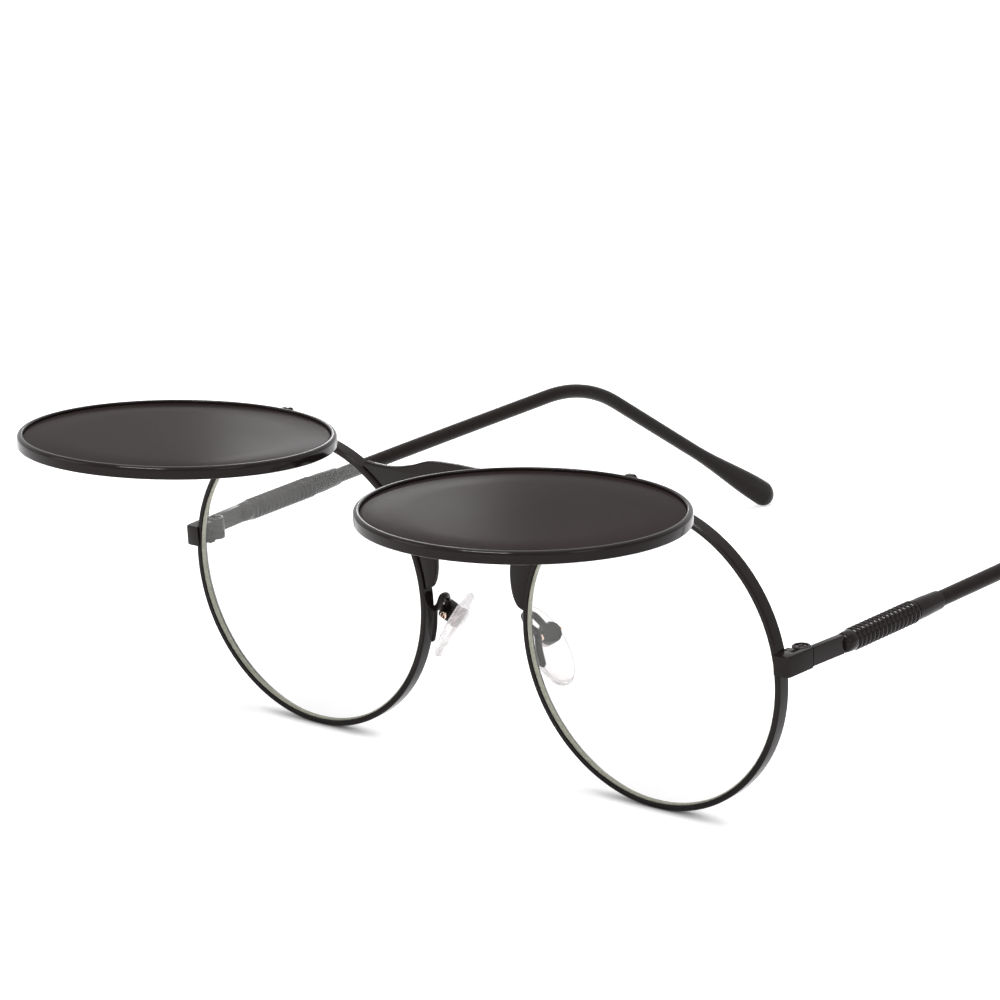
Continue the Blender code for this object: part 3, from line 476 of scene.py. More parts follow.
@dataclass(frozen=True)
class RingSection:
    """The section of a round metal rim, at the +X side of its ring.

    Args:
        radius: outer radius of the ring.
        wall: radial thickness.
        depth: full depth along the ring's axis.
        rounding: radius of the section's corners.
        brow: size of the corner between the front face and the outer wall.
        groove: depth of the vee groove for the lens.
        flare: how far the inner wall opens out towards the back.
        brow_steps: faces across the brow, one for a flat chamfer.
        corner_steps: faces across each plain corner.
        half_cuts: stretches of the inner wall on each side of the groove.
    """

    radius: float
    wall: float
    depth: float
    rounding: float
    brow: float
    groove: float
    flare: float = 0.0
    brow_steps: int = 7
    corner_steps: int = 5
    half_cuts: int = 3

    @property
    def inner(self) -> float:
        """Inner radius at the front."""
        return self.radius - self.wall

    def is_corner(self, spot: Vector) -> bool:
        """Says whether a point is one of the section's three plain corners.

        Args:
            spot: a point of the section.

        Returns:
            True at the two inner corners and at the outer one at the back.
        """
        corners = ((self.inner, -1.0), (self.inner + self.flare, 1.0), (self.radius, 1.0))
        spots = [Vector((across, along * self.depth / 2, 0.0)) for across, along in corners]
        return any((spot - corner).length < MERGE_DISTANCE for corner in spots)

    def spin(self, name: str, steps: int) -> bpy.types.Object:
        """Draws the section and spins it round the y axis.

        Args:
            name: name of the piece.
            steps: stretches round the ring.

        Returns:
            The closed ring.
        """
        middle = self.radius - self.wall / 2
        bpy.ops.mesh.primitive_plane_add(size=1.0, location=(middle, 0.0, 0.0))
        ring = named(name)
        near = MERGE_DISTANCE
        with editing(ring):
            bpy.ops.transform.resize(value=(self.wall, self.depth, 1.0), center_override=(middle, 0.0, 0.0))
            select_where(ring, lambda spot: spot.x < self.inner + near)
            bpy.ops.mesh.subdivide(number_cuts=2 * self.half_cuts - 1, ngon=True)
            select_where(ring, lambda spot: spot.x < self.inner + near and abs(spot.y) < near)
            bpy.ops.transform.translate(value=(self.groove, 0.0, 0.0))
            for step in range(1, self.half_cuts + 1):
                share = step / self.half_cuts
                level = self.depth / 2 * share
                select_where(ring, lambda spot: spot.x < self.inner + near and abs(spot.y - level) < near)
                bpy.ops.transform.translate(value=(self.flare * share, 0.0, 0.0))
            select_where(ring, lambda spot: spot.y < -self.depth / 2 + near and spot.x > middle)
            bpy.ops.mesh.bevel(offset=self.brow, segments=self.brow_steps, affect="VERTICES")
            select_where(ring, self.is_corner)
            bpy.ops.mesh.bevel(offset=self.rounding, segments=self.corner_steps, affect="VERTICES")
            bpy.ops.mesh.select_all(action="SELECT")
            bpy.ops.mesh.delete(type="ONLY_FACE")
            bpy.ops.mesh.select_all(action="SELECT")
            bpy.ops.mesh.spin(steps=steps, angle=2 * pi, center=ORIGIN, axis=(0.0, 1.0, 0.0))
        return smooth(ring, CREASE_ANGLE)


def linear(code: str) -> tuple[float, float, float, float]:
    """Turns an sRGB hex colour into linear values.

    Args:
        code: the colour, as a hash and six digits.

    Returns:
        Red, green and blue by the sRGB curve, and a full alpha.
    """
    channels = [int(code[start : start + 2], 16) / 255 for start in (1, 3, 5)]
    light = [value / 12.92 if value <= 0.04045 else ((value + 0.055) / 1.055) ** 2.4 for value in channels]
    return (light[0], light[1], light[2], 1.0)


def add_node(
    tree: bpy.types.NodeTree, kind: str, settings: dict | None = None, links: dict | None = None
) -> bpy.types.Node:
    """Adds a node with its settings and links.

    Args:
        tree: the node tree.
        kind: the node's Blender type.
        settings: socket defaults, by socket name or number, and properties, by name.
        links: sockets to feed, by name or number, and the output that feeds each.

    Returns:
        The new node.
    """
    node = tree.nodes.new(kind)
    for name, value in (settings or {}).items():
        if isinstance(name, str) and hasattr(node, name):
            setattr(node, name, value)
        else:
            node.inputs[name].default_value = value
    for name, source in (links or {}).items():
        tree.links.new(source, node.inputs[name])
    return node


def per_metre(millimetres: float) -> float:
    """Scale of a pattern on Object coordinates whose features are this far apart."""
    return 1000.0 / millimetres


@dataclass(frozen=True)
class Finish:
    """A surface finish: two close colours, mottled, with a fine uneven gloss and a fine relief.

    Args:
        name: the real material.
        colour: main colour as sRGB hex.
        mottle: second colour, which the mottling drifts towards.
        roughness: lowest and highest roughness across the surface.
        metallic: share of metal.
        ior: index of refraction.
        specular: strength of the plain reflection.
        alpha: opacity.
        transmission: share of light that passes through a solid body.
        mottle_mm: size of the colour and gloss drift.
        mottle_detail: finer layers in the drift.
        mottle_roughness: strength of those layers.
        mottle_range: the drift's values at the lowest and highest roughness.
        grain_mm: size of the relief.
        grain_detail: finer layers in the relief.
        relief_mm: height of the relief.
        relief_strength: how much of the relief shows.
    """

    name: str
    colour: str
    mottle: str
    roughness: tuple[float, float]
    metallic: float = 0.0
    ior: float = 1.5
    specular: float = 0.5
    alpha: float = 1.0
    transmission: float = 0.0
    mottle_mm: float = 3.0
    mottle_detail: float = 3.0
    mottle_roughness: float = 0.55
    mottle_range: tuple[float, float] = (0.3, 0.7)
    grain_mm: float = 0.35
    grain_detail: float = 2.0
    relief_mm: float = 0.004
    relief_strength: float = 0.5

    def shader(self, tree: bpy.types.NodeTree, links: dict) -> bpy.types.Node:
        """Adds the shader.

        Args:
            tree: the material's node tree.
            links: the sockets that vary over the surface, and what feeds each.

        Returns:
            The shader, with the sockets that are the same all over the surface set on it.
        """
        return add_node(
            tree,
            "ShaderNodeBsdfPrincipled",
            {
                "Metallic": self.metallic,
                "IOR": self.ior,
                "Specular IOR Level": self.specular,
                "Alpha": self.alpha,
                "Transmission Weight": self.transmission,
            },
            links,
        )

    def build(self) -> bpy.types.Material:
        """Makes the material.

        Returns:
            The material, with its patterns on Object coordinates.
        """
        made = bpy.data.materials.new(self.name)
        made.use_nodes = True
        tree = made.node_tree
        tree.nodes.clear()
        place = add_node(tree, "ShaderNodeTexCoord")
        drift = add_node(
            tree,
            "ShaderNodeTexNoise",
            {
                "Scale": per_metre(self.mottle_mm),
                "Detail": self.mottle_detail,
                "Roughness": self.mottle_roughness,
            },
            {"Vector": place.outputs["Object"]},
        )
        tint = add_node(
            tree,
            "ShaderNodeMix",
            {"data_type": "RGBA", 6: linear(self.colour), 7: linear(self.mottle)},
            {0: drift.outputs["Fac"]},
        )
        gloss = add_node(
            tree,
            "ShaderNodeMapRange",
            {
                "From Min": self.mottle_range[0],
                "From Max": self.mottle_range[1],
                "To Min": self.roughness[0],
                "To Max": self.roughness[1],
            },
            {"Value": drift.outputs["Fac"]},
        )
        grain = add_node(
            tree,
            "ShaderNodeTexNoise",
            {"Scale": per_metre(self.grain_mm), "Detail": self.grain_detail},
            {"Vector": place.outputs["Object"]},
        )
        relief = add_node(
            tree,
            "ShaderNodeBump",
            {"Strength": self.relief_strength, "Distance": self.relief_mm / 1000},
            {"Height": grain.outputs["Fac"]},
        )
        shader = self.shader(
            tree,
            {
                "Base Color": tint.outputs[2],
                "Roughness": gloss.outputs["Result"],
                "Normal": relief.outputs["Normal"],
            },
        )
        add_node(tree, "ShaderNodeOutputMaterial", links={"Surface": shader.outputs["BSDF"]})
        made.diffuse_color = (*linear(self.colour)[:3], self.alpha)
        return made


# Nickel silver under a baked black lacquer: nearly black and faintly brown, satin, with a slight orange peel.
LACQUER = Finish("baked black lacquer on nickel silver", "#161010", "#1c1615", (0.1, 0.15), specular=0.12)
# Hardened steel screws, blackened: dark grey metal with a fine turned grain.
BLACK_STEEL = Finish(
    "blackened steel",
    "#4a4644",
    "#3b3735",
    (0.28, 0.4),
    metallic=1.0,
    mottle_mm=0.6,
    grain_mm=0.12,
    relief_mm=0.003,
)
# Brass screws plated with rose gold: warm and bright.
GILT = Finish(
    "rose gold plated brass",
    "#f0dac9",
    "#e0bfa8",
    (0.14, 0.22),
    metallic=1.0,
    mottle_mm=0.8,
    grain_mm=0.15,
    relief_mm=0.002,
)
# Cellulose acetate sleeves over the temple cores, tumbled to a satin polish.
ACETATE = Finish(
    "black cellulose acetate",
    "#191413",
    "#201b19",
    (0.24, 0.32),
    ior=1.48,
    specular=0.06,
    mottle_mm=4.0,
    relief_mm=0.003,
)
# CR-39 plano lenses: clear; their near-white colour at a low alpha is a painted reflection, the faint white
# veil of two uncoated surfaces.
CLEAR_LENS = Finish(
    "clear CR-39",
    "#f7f8f6",
    "#f2f5f1",
    (0.03, 0.05),
    alpha=0.08,
    mottle_mm=20.0,
    grain_mm=8.0,
    relief_mm=0.0005,
)
# The ground vee edge of the clear lenses: matt, pale olive because the light has crossed the whole lens.
GROUND_EDGE = Finish(
    "ground CR-39 edge",
    "#d4d3c2",
    "#8c8b72",
    (0.5, 0.6),
    alpha=0.9,
    mottle_mm=0.5,
    grain_mm=0.1,
    relief_mm=0.004,
)
# Dyed polycarbonate with an anti-reflection coat: dark brown-grey, passing a thirtieth of the light.
DARK_LENS = Finish(
    "dyed polycarbonate",
    "#221c1c",
    "#2a2322",
    (0.16, 0.2),
    specular=0.004,
    alpha=0.966,
    mottle_mm=25.0,
    grain_mm=9.0,
)
# Moulded silicone: clear and soft, with a slightly uneven skin.
SILICONE = Finish(
    "clear moulded silicone",
    "#d0cbcb",
    "#c2bcbd",
    (0.06, 0.13),
    ior=1.41,
    alpha=0.8,
    transmission=1.0,
    mottle_mm=2.5,
    grain_mm=1.4,
)


class Paintbox:
    """Makes each finish once and hands it out."""

    def __init__(self) -> None:
        """Starts with no material made."""
        self.made: dict[str, bpy.types.Material] = {}

    def paint(self, piece: bpy.types.Object, finish: Finish) -> None:
        """Gives a whole piece one finish.

        Args:
            piece: the piece to paint.
            finish: its finish.
        """
        if finish.name not in self.made:
            self.made[finish.name] = finish.build()
        piece.data.materials.clear()
        piece.data.materials.append(self.made[finish.name])


@dataclass
class Workshop:
    """What every sub-assembly needs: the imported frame, the finishes and where the front stands.

    Args:
        paints: the finishes.
        hinge: place of the left temple's hinge on the drawing board, from midway between the rings.
    """

    frame: dict
    paints: Paintbox
    hinge: Vector = field(default_factory=lambda: Vector((0.0577, 0.00395, 0.0031)))

    def joint(self, name: str) -> dict:
        """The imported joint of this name."""
        return next(joint for joint in self.frame["joints"] if joint["name"] == name)

    @property
    def tilt(self) -> float:
        """The front's tilt in radians, read from the left temple's hinge axis."""
        axis = self.joint("temple_left_fold")["axis"]
        return atan2(-axis[1], axis[2])

    @property
    def turn(self) -> Matrix:
        """The front's tilt as a rotation."""
        return Matrix.Rotation(self.tilt, 4, "X")

    @property
    def front(self) -> Matrix:
        """The place of the drawing board."""
        corner = Vector(self.joint("temple_left_fold")["pos_m"])
        return Matrix.Translation(corner - self.turn @ self.hinge) @ self.turn

    def fit(
        self,
        piece: bpy.types.Object,
        body: str,
        finish: Finish,
        replaced: Sequence[str],
    ) -> None:
        """Paints a finished piece, hangs it on its body and reports it.

        Args:
            piece: the finished piece, in place.
            body: the body that it rides on.
            finish: its finish.
            replaced: the CAD nodes that it stands for.
        """
        self.paints.paint(piece, finish)
        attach(piece, body)
        if replaced:
            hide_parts(*replaced)
        LOG.info("%s rides on %s in %s", piece.name, body, finish.name)

    def fit_pair(
        self, piece: bpy.types.Object, body: str, finish: Finish, node: str | None
    ) -> None:
        """Mirrors a left piece and moves, paints and hangs both.

        Args:
            piece: the left piece on the drawing board, named without its side.
            body: the front, or a body's name without its side.
            finish: the finish of both.
            node: the CAD node that each stands for, without its side, or None.
        """
        base = piece.name
        twin = mirrored(piece, f"{base}_{Side.RIGHT.value}")
        rename(piece, f"{base}_{Side.LEFT.value}")
        for side, made in ((Side.LEFT, piece), (Side.RIGHT, twin)):
            put(made, self.front)
            carrier = body if body == FRONT else f"{body}_{side.value}"
            self.fit(made, carrier, finish, [f"{node}_{side.value}"] if node else [])

    def keep_pair(self, node: str, finish: Finish) -> None:
        """Leaves a CAD node of each side in place and gives it a finish.

        Args:
            node: the nodes' name without its side.
            finish: their finish.
        """
        for side in Side:
            name = f"{node}_{side.value}"
            self.paints.paint(self.frame["nodes"][name], finish)
            LOG.info("%s keeps its solid in %s", name, finish.name)


@dataclass
class FrontRims:
    """The two eyewires with their clear lenses, and the ground edges of the lenses."""

    spacing: float = 0.067
    section: RingSection = RingSection(
        radius=0.02389,
        wall=0.0009,
        depth=0.0022,
        rounding=0.0001,
        brow=0.00022,
        groove=0.00045,
        flare=0.00062,
        brow_steps=1,
    )
    lens_thickness: float = 0.0018
    lens_crown: float = 0.0005
    lens_gap: float = 0.00008
    lens_shares: tuple[float, ...] = (0.04, 0.2, 0.4, 0.6, 0.8, 0.93, 1.0)
    apex_share: float = 0.125
    band_front: float = -0.00085
    band_back: float = -0.0001
    band_wall: float = 0.00022
    band_rounding: float = 0.00005
    band_gap_share: float = 0.25
    steps: int = 144

    def lens_profile(self) -> list[tuple[float, float]]:
        """Draws half the section of the clear lens.

        Returns:
            (radius, depth) pairs from the middle of its front to the middle of its back.
        """
        edge = self.section.inner - self.lens_gap
        apex = edge + self.section.groove - self.lens_gap
        half = self.lens_thickness / 2
        front, back = (
            [(edge * share, face - self.lens_crown * (1 - share * share)) for share in self.lens_shares]
            for face in (-half, half)
        )
        tip = half * self.apex_share
        return [*front, (apex, -tip), (apex, tip), *reversed(back)]

    def edge_band(self, name: str) -> bpy.types.Object:
        """Makes the ground band of the lens's edge, just inside the eyewire.

        Args:
            name: name of the piece.

        Returns:
            The band, about the ring's centre.
        """
        radius = self.section.inner + self.lens_gap * self.band_gap_share
        depth = self.band_back - self.band_front
        band = RingSection(radius, self.band_wall, depth, self.band_rounding, self.band_rounding, groove=0.0)
        middle = (self.band_front + self.band_back) / 2
        return put(band.spin(name, self.steps), Matrix.Translation((0.0, middle, 0.0)))

    def build(self, shop: Workshop) -> None:
        """Makes both eyewires, both lenses and the ground edges of the lenses.

        Args:
            shop: the workshop.
        """
        move = Matrix.Translation((self.spacing / 2, 0.0, 0.0))
        ring = self.section.spin("eyewire", self.steps)
        lens = turned("lens", self.lens_profile(), self.steps)
        bevel = self.edge_band("lens_bevel")
        shop.fit_pair(put(ring, move), FRONT, LACQUER, "rim")
        shop.fit_pair(put(lens, move), FRONT, CLEAR_LENS, "clear_lens")
        shop.fit_pair(put(bevel, move), FRONT, GROUND_EDGE, None)


@dataclass
class BridgePlate:
    """The flat plate that joins the eyewires and arches over the nose."""

    thickness: float = 0.001
    setback: float = -0.0002
    rounding: float = 0.0002
    top_height: float = 0.0235
    half_width: float = 0.0211
    foot_height: float = 0.0025
    arch_height: float = 0.0185
    arch_half_width: float = 0.01
    rim_gap: float = 0.00006
    rim_steps: int = 24
    top_shares: tuple[tuple[float, float], ...] = (
        (0.0, 1.0),
        (0.178, 1.0),
        (0.374, 0.987),
        (0.545, 0.937),
        (0.716, 0.903),
        (0.88, 0.898),
        (0.97, 0.904),
    )
    arch_shares: tuple[tuple[float, float], ...] = (
        (0.0, 1.0),
        (0.45, 1.0),
        (0.7, 0.978),
        (0.9, 0.91),
        (1.0, 0.8),
        (0.89, 0.686),
        (0.79, 0.58),
        (0.735, 0.48),
        (0.735, 0.34),
        (0.775, 0.235),
        (0.85, 0.165),
    )

    def outline(self, rims: FrontRims) -> list[Vector]:
        """Draws the plate's whole outline.

        Args:
            rims: the eyewires that it meets.

        Returns:
            Its corners as (x, z).
        """
        reach = rims.section.radius + self.rim_gap
        middle = rims.spacing / 2
        top = [Vector((x * self.half_width, z * self.top_height)) for x, z in self.top_shares]
        arch = [Vector((x * self.arch_half_width, z * self.arch_height)) for x, z in self.arch_shares]
        first = pi - asin(sqrt(reach**2 - (middle - self.half_width) ** 2) / reach)
        last = pi - asin(self.foot_height / reach)
        turns = [first + (last - first) * step / self.rim_steps for step in range(self.rim_steps + 1)]
        along_rim = [Vector((middle + reach * cos(turn), reach * sin(turn))) for turn in turns]
        wing = curve_through([along_rim[-1], *reversed(arch)])
        half = [*curve_through(top)[1:], *along_rim, *wing[1:-1]]
        return [top[0], *half, wing[-1], *[Vector((-spot.x, spot.y)) for spot in reversed(half)]]

    def build(self, shop: Workshop, rims: FrontRims) -> None:
        """Makes the plate.

        Args:
            shop: the workshop.
            rims: the eyewires that it meets.
        """
        piece = plate("brow_plate", self.outline(rims), self.thickness, self.rounding, Axis.Y)
        put(piece, shop.front @ Matrix.Translation((0.0, self.setback, 0.0)))
        shop.fit(piece, FRONT, LACQUER, ["bridge_plate"])


@dataclass
class ScrewHead:
    """A small screw along z, with a rounded head and one slot or a cross at the top."""

    shaft: float
    head: float
    head_height: float
    slot_width: float
    slot_depth: float
    slots: int = 2
    rounding_share: float = 0.25
    rounding_steps: int = 3
    slot_length_share: float = 1.5

    def build(self, name: str, tip: float, top: float) -> bpy.types.Object:
        """Makes the screw between two heights.

        Args:
            name: name of the piece.
            tip: height of the shaft's end.
            top: height of the head's top.

        Returns:
            The screw.
        """
        seat = top - self.head_height
        piece = rod(name, self.head, seat, top)
        with editing(piece):
            select_where(piece, lambda spot: spot.z > top - MERGE_DISTANCE)
            bpy.ops.mesh.bevel(
                offset=self.head * self.rounding_share, segments=self.rounding_steps, affect="EDGES"
            )
            select_where(piece, lambda spot: spot.z < seat + MERGE_DISTANCE)
            bpy.ops.mesh.inset(thickness=self.head - self.shaft)
            bpy.ops.mesh.extrude_region_move(TRANSFORM_OT_translate={"value": (0.0, 0.0, tip - seat)})
        for step in range(self.slots):
            size = Vector((self.slot_width, self.head * self.slot_length_share, 2 * self.slot_depth))
            cutter = block("slot", size, Vector((0.0, 0.0, top)))
            put(cutter, Matrix.Rotation(pi * step / self.slots, 4, "Z"))
            carve(piece, cutter)
        return smooth(piece, CREASE_ANGLE)


@dataclass
class EndPiece:
    """The L-shaped piece at the rim's joint, with the temple hinge's outer knuckles and its screw."""

    height: float = 0.0032
    cover_in: float = 0.0566
    front: float = 0.0014
    corner_out: float = 0.0593
    chamfer: float = 0.0007
    chamfer_shares: tuple[float, float] = (1 / 3, 1 / 4)
    flare: float = 0.0003
    arm_wall: float = 0.0012
    arm_back: float = 0.0042
    rounding: float = 0.00018
    knuckle_radius: float = 0.0014
    knuckle_stack: float = 0.0033
    knuckle_rounding: float = 0.00008
    face_gap: float = 0.00008
    running_gap: float = 0.00006
    pocket_depth: float = 0.0006
    room_segments: int = 192
    screw: ScrewHead = field(default_factory=lambda: ScrewHead(0.0005, 0.00095, 0.0005, 0.00026, 0.00028))

    def plan(self, block_back: float) -> list[Vector]:
        """Draws the piece as seen from above, with a chamfered and rounded corner.

        Args:
            block_back: depth of the back of the part behind the rim's joint.

        Returns:
            Its corners as (x, y).
        """
        arm_out = self.corner_out + self.flare
        across, along = (self.chamfer * share for share in self.chamfer_shares)
        return [
            Vector((self.cover_in, -self.front)),
            Vector((self.corner_out - self.chamfer, -self.front)),
            Vector((self.corner_out - across, -self.front + along)),
            Vector((self.corner_out, -self.front + self.chamfer)),
            Vector((arm_out, self.arm_back)),
            Vector((arm_out - self.arm_wall, self.arm_back)),
            Vector((arm_out - self.arm_wall, block_back)),
            Vector((self.cover_in, block_back)),
        ]

    def levels(self) -> tuple[float, float, float]:
        """Half height of the middle knuckle, and bottom and top of the upper one."""
        height = (self.knuckle_stack - 2 * self.face_gap) / 3
        return height / 2, height / 2 + self.face_gap, self.knuckle_stack / 2

    def build(self, shop: Workshop, rims: FrontRims) -> None:
        """Makes both end pieces and both hinge screws, and finishes the lens locks behind them.

        Args:
            shop: the workshop.
            rims: the eyewires that they lap.
        """
        gap = self.running_gap
        half_depth = rims.section.depth / 2
        middle, bottom, top = self.levels()
        piece = plate("end_piece_fine", self.plan(half_depth), self.height, self.rounding, Axis.Z)
        put(piece, Matrix.Translation((0.0, 0.0, shop.hinge.z)))
        ring = rod(
            "rim_room", rims.section.radius + gap, -half_depth - gap, 2 * half_depth, self.room_segments
        )
        put(ring, Matrix.Translation((rims.spacing / 2, 0.0, 0.0)) @ Matrix.Rotation(-pi / 2, 4, "X"))
        carve(piece, ring)
        at_hinge = Matrix.Translation(shop.hinge)
        carve(piece, put(rod("knuckle_room", self.knuckle_radius + gap, -bottom, bottom), at_hinge))
        for low, high in ((-top, -bottom), (bottom, top)):
            knuckle = soften(rod("knuckle", self.knuckle_radius, low, high), self.knuckle_rounding)
            carve(piece, put(knuckle, at_hinge), Join.ADD)
        pocket = rod("head_room", self.screw.head + gap, top - self.pocket_depth, top + middle)
        carve(piece, put(pocket, at_hinge))
        carve(piece, put(rod("shaft_room", self.screw.shaft + gap, -2 * top, top), at_hinge))
        smooth(piece, CREASE_ANGLE)
        screw = put(self.screw.build("hinge_screw_fine", -top + self.face_gap, top - self.face_gap), at_hinge)
        shop.fit_pair(piece, FRONT, LACQUER, "end_piece")
        shop.fit_pair(screw, FRONT, BLACK_STEEL, "temple_hinge_screw")
        shop.keep_pair("closing_block_upper", LACQUER)
        shop.keep_pair("closing_block_lower", LACQUER)
        shop.keep_pair("rim_lock_screw", BLACK_STEEL)


@dataclass
class Temple:
    """The folding temple: bar, ribbed sleeve, collar and the bent covering with its rounded tip."""

    droop: float = radians(0.65)
    rise: float = 0.00005
    bar_height: float = 0.0029
    bar_wall: float = 0.0012
    bar_rounding: float = 0.0002
    bar_out: float = 0.0013
    bar_start: float = 0.0004
    bar_end: float = 0.0073
    bar_flare: float = radians(4.0)
    tube_flare: float = radians(1.0)
    sleeve_radius: float = 0.00177
    valley_depth: float = 0.00032
    ribs_start: float = 0.0096
    ribs_end: float = 0.0249
    ribs: int = 15
    collar_end: float = 0.0314
    collar_end_radius: float = 0.00145
    groove: float = 0.0003
    tube_radius: float = 0.00122
    tube_lip: float = 0.0001
    tube_lip_end: float = 0.0003
    tube_blunt: float = 0.00008
    bend_start: float = 0.0874
    bend_radius: float = 0.034
    bend: float = radians(33.5)
    tip_run: float = 0.0535
    tip_half_height: float = 0.00231
    tip_half_width: float = 0.00165
    tip_flare: float = 0.027
    tip_end_round: float = 0.0034
    bow_at_tip: float = 0.00215
    seat_gap: float = 0.00006
    segments: int = 40
    tube_steps: int = 20
    bend_steps: int = 20
    tip_steps: int = 26
    round_steps: int = 12
    round_last: int = 9
    # How far along the blunt collar in front of the ribs, and how far its surface lies below the ribs' tops.
    shoulder: tuple[tuple[float, float], ...] = (
        (0.0, 0.00075),
        (0.05, 0.0005),
        (0.18, 0.00027),
        (0.5, 0.0002),
        (0.9, 0.00012),
        (0.97, 0.0002),
    )
    # How far along one rib, and how much of its height it has there.
    rib_shares: tuple[tuple[float, float], ...] = (
        (0.0, 0.0),
        (0.12, 0.45),
        (0.28, 0.84),
        (0.5, 1.0),
        (0.72, 0.84),
        (0.88, 0.45),
    )
    # How far behind the ribs, and how far the collar's surface lies above its main radius.
    collar_front: tuple[tuple[float, float], ...] = (
        (0.0, -0.00018),
        (0.0001, 0.0),
        (0.0024, 0.00002),
        (0.0034, -0.00004),
    )
    # How far before the collar's end, and how far its surface lies above its end radius.
    collar_back: tuple[tuple[float, float], ...] = ((0.0009, 0.00006), (0.0001, 0.0), (0.0, -0.0001))

    @property
    def length(self) -> float:
        """Length of the temple's line from its hinge to its end."""
        return self.bend_start + self.bend_radius * self.bend + self.tip_run

    def straight_line(self, run: float) -> tuple[float, float, float]:
        """Follows the temple's line as it is seen from the side.

        Args:
            run: distance along the line from the hinge.

        Returns:
            The line's slope, depth and height there.
        """
        arc = self.bend_radius * self.bend
        straight = min(run, self.bend_start)
        bent = min(max(run - self.bend_start, 0.0), arc)
        beyond = max(run - self.bend_start - arc, 0.0)
        slope = self.droop + bent / self.bend_radius
        fall = self.bend_radius * (cos(self.droop) - cos(slope))
        reach = self.bend_radius * (sin(slope) - sin(self.droop))
        back = straight * cos(self.droop) + reach + beyond * cos(slope)
        up = self.rise - straight * sin(self.droop) - fall - beyond * sin(slope)
        return slope, back, up

    def station(self, run: float, half_width: float, half_height: float | None = None) -> Station:
        """Sets a ring on the left temple's line.

        Args:
            run: distance along the line from the hinge.
            half_width: half the ring's size across.
            half_height: half its height, or None for a round one.

        Returns:
            The ring, which bows in towards the head behind the collar.
        """
        slope, back, up = self.straight_line(run)
        start = self.bar_out + tan(self.bar_flare) * (self.bar_end - self.bar_start)
        flare = tan(self.tube_flare)
        out = start + flare * (back - self.bar_end)
        past = back - self.collar_end
        if past > 0:
            full = self.straight_line(self.length)[1] - self.collar_end
            straight_on = start + flare * (self.collar_end - self.bar_end) + flare * full
            out -= (straight_on - self.bow_at_tip) * (past / full) ** 2
        return Station(Vector((out, back, up)), half_width, half_height or half_width, slope)

    def bar(self, hinge: EndPiece) -> bpy.types.Object:
        """Makes the flat bar with the hinge's middle knuckle.

        Args:
            hinge: the end piece that carries it.

        Returns:
            The bar, about the hinge.
        """
        half = self.bar_wall / 2
        shift = tan(self.bar_flare) * (self.bar_end - self.bar_start)
        plan = [
            Vector((self.bar_out - half, self.bar_start)),
            Vector((self.bar_out + half, self.bar_start)),
            Vector((self.bar_out + shift + half, self.bar_end)),
            Vector((self.bar_out + shift - half, self.bar_end)),
        ]
        piece = plate("temple_flat", plan, self.bar_height, self.bar_rounding, Axis.Z)
        put(piece, Matrix.Rotation(-self.droop, 4, "X") @ Matrix.Translation((0.0, 0.0, self.rise)))
        middle, _, top = hinge.levels()
        room = hinge.knuckle_radius + hinge.running_gap
        for low, high in ((-2 * top, -middle - self.seat_gap / 2), (middle + self.seat_gap / 2, 2 * top)):
            carve(piece, rod("knuckle_room", room, low, high))
        carve(piece, rod("knuckle", hinge.knuckle_radius, -middle, middle), Join.ADD)
        carve(piece, rod("shaft_room", hinge.screw.shaft + hinge.running_gap, -top, top))
        return smooth(piece, CREASE_ANGLE)

    def sleeve(self) -> bpy.types.Object:
        """Makes the ribbed sleeve: a smooth blunt collar, then round ribs.

        Returns:
            The sleeve, about the hinge.
        """
        radius = self.sleeve_radius
        start = self.bar_end + self.seat_gap
        length = self.ribs_start - start
        stations = [self.station(start + length * share, radius - drop) for share, drop in self.shoulder]
        pitch = (self.ribs_end - self.ribs_start) / self.ribs
        for rib in range(self.ribs):
            first = self.ribs_start + rib * pitch
            for share, height_share in self.rib_shares:
                drop = self.valley_depth * (1 - height_share)
                stations.append(self.station(first + share * pitch, radius - drop))
        stations.append(self.station(self.ribs_end, radius - self.valley_depth))
        return sweep("temple_spring_sleeve", stations, self.segments)

    def collar(self) -> bpy.types.Object:
        """Makes the smooth ferrule between the ribs and the covering.

        Returns:
            The ferrule, about the hinge.
        """
        start = self.ribs_end + self.seat_gap
        radius = self.sleeve_radius - self.valley_depth / 2
        marks = [(start + run, radius + rise) for run, rise in self.collar_front]
        marks += [(self.collar_end - run, self.collar_end_radius + rise) for run, rise in self.collar_back]
        return sweep("temple_ferrule", [self.station(run, size) for run, size in marks], self.segments)

    def covering(self) -> bpy.types.Object:
        """Makes the plastic covering, from its blunt front over the bend to the rounded tip.

        Returns:
            The covering, about the hinge.
        """
        first = self.collar_end + self.groove
        bend_end = self.bend_start + self.bend_radius * self.bend
        round_start = self.length - self.tip_end_round
        runs = [first, first + self.tube_lip, first + self.tube_lip_end]
        for start, end, steps, skipped in (
            (first, self.bend_start, self.tube_steps, 1),
            (self.bend_start, bend_end, self.bend_steps, 0),
            (bend_end, round_start, self.tip_steps, 0),
        ):
            runs += [start + (end - start) * step / steps for step in range(skipped, steps)]
        runs += [
            round_start + self.tip_end_round * sin(pi / 2 * step / self.round_steps)
            for step in range(self.round_last + 1)
        ]
        stations = []
        for run in runs:
            width, height = self.half_sizes(run)
            blunt = self.tube_blunt if run == first else 0.0
            stations.append(self.station(run, width - blunt, height - blunt))
        return sweep("temple_covering", stations, self.segments)

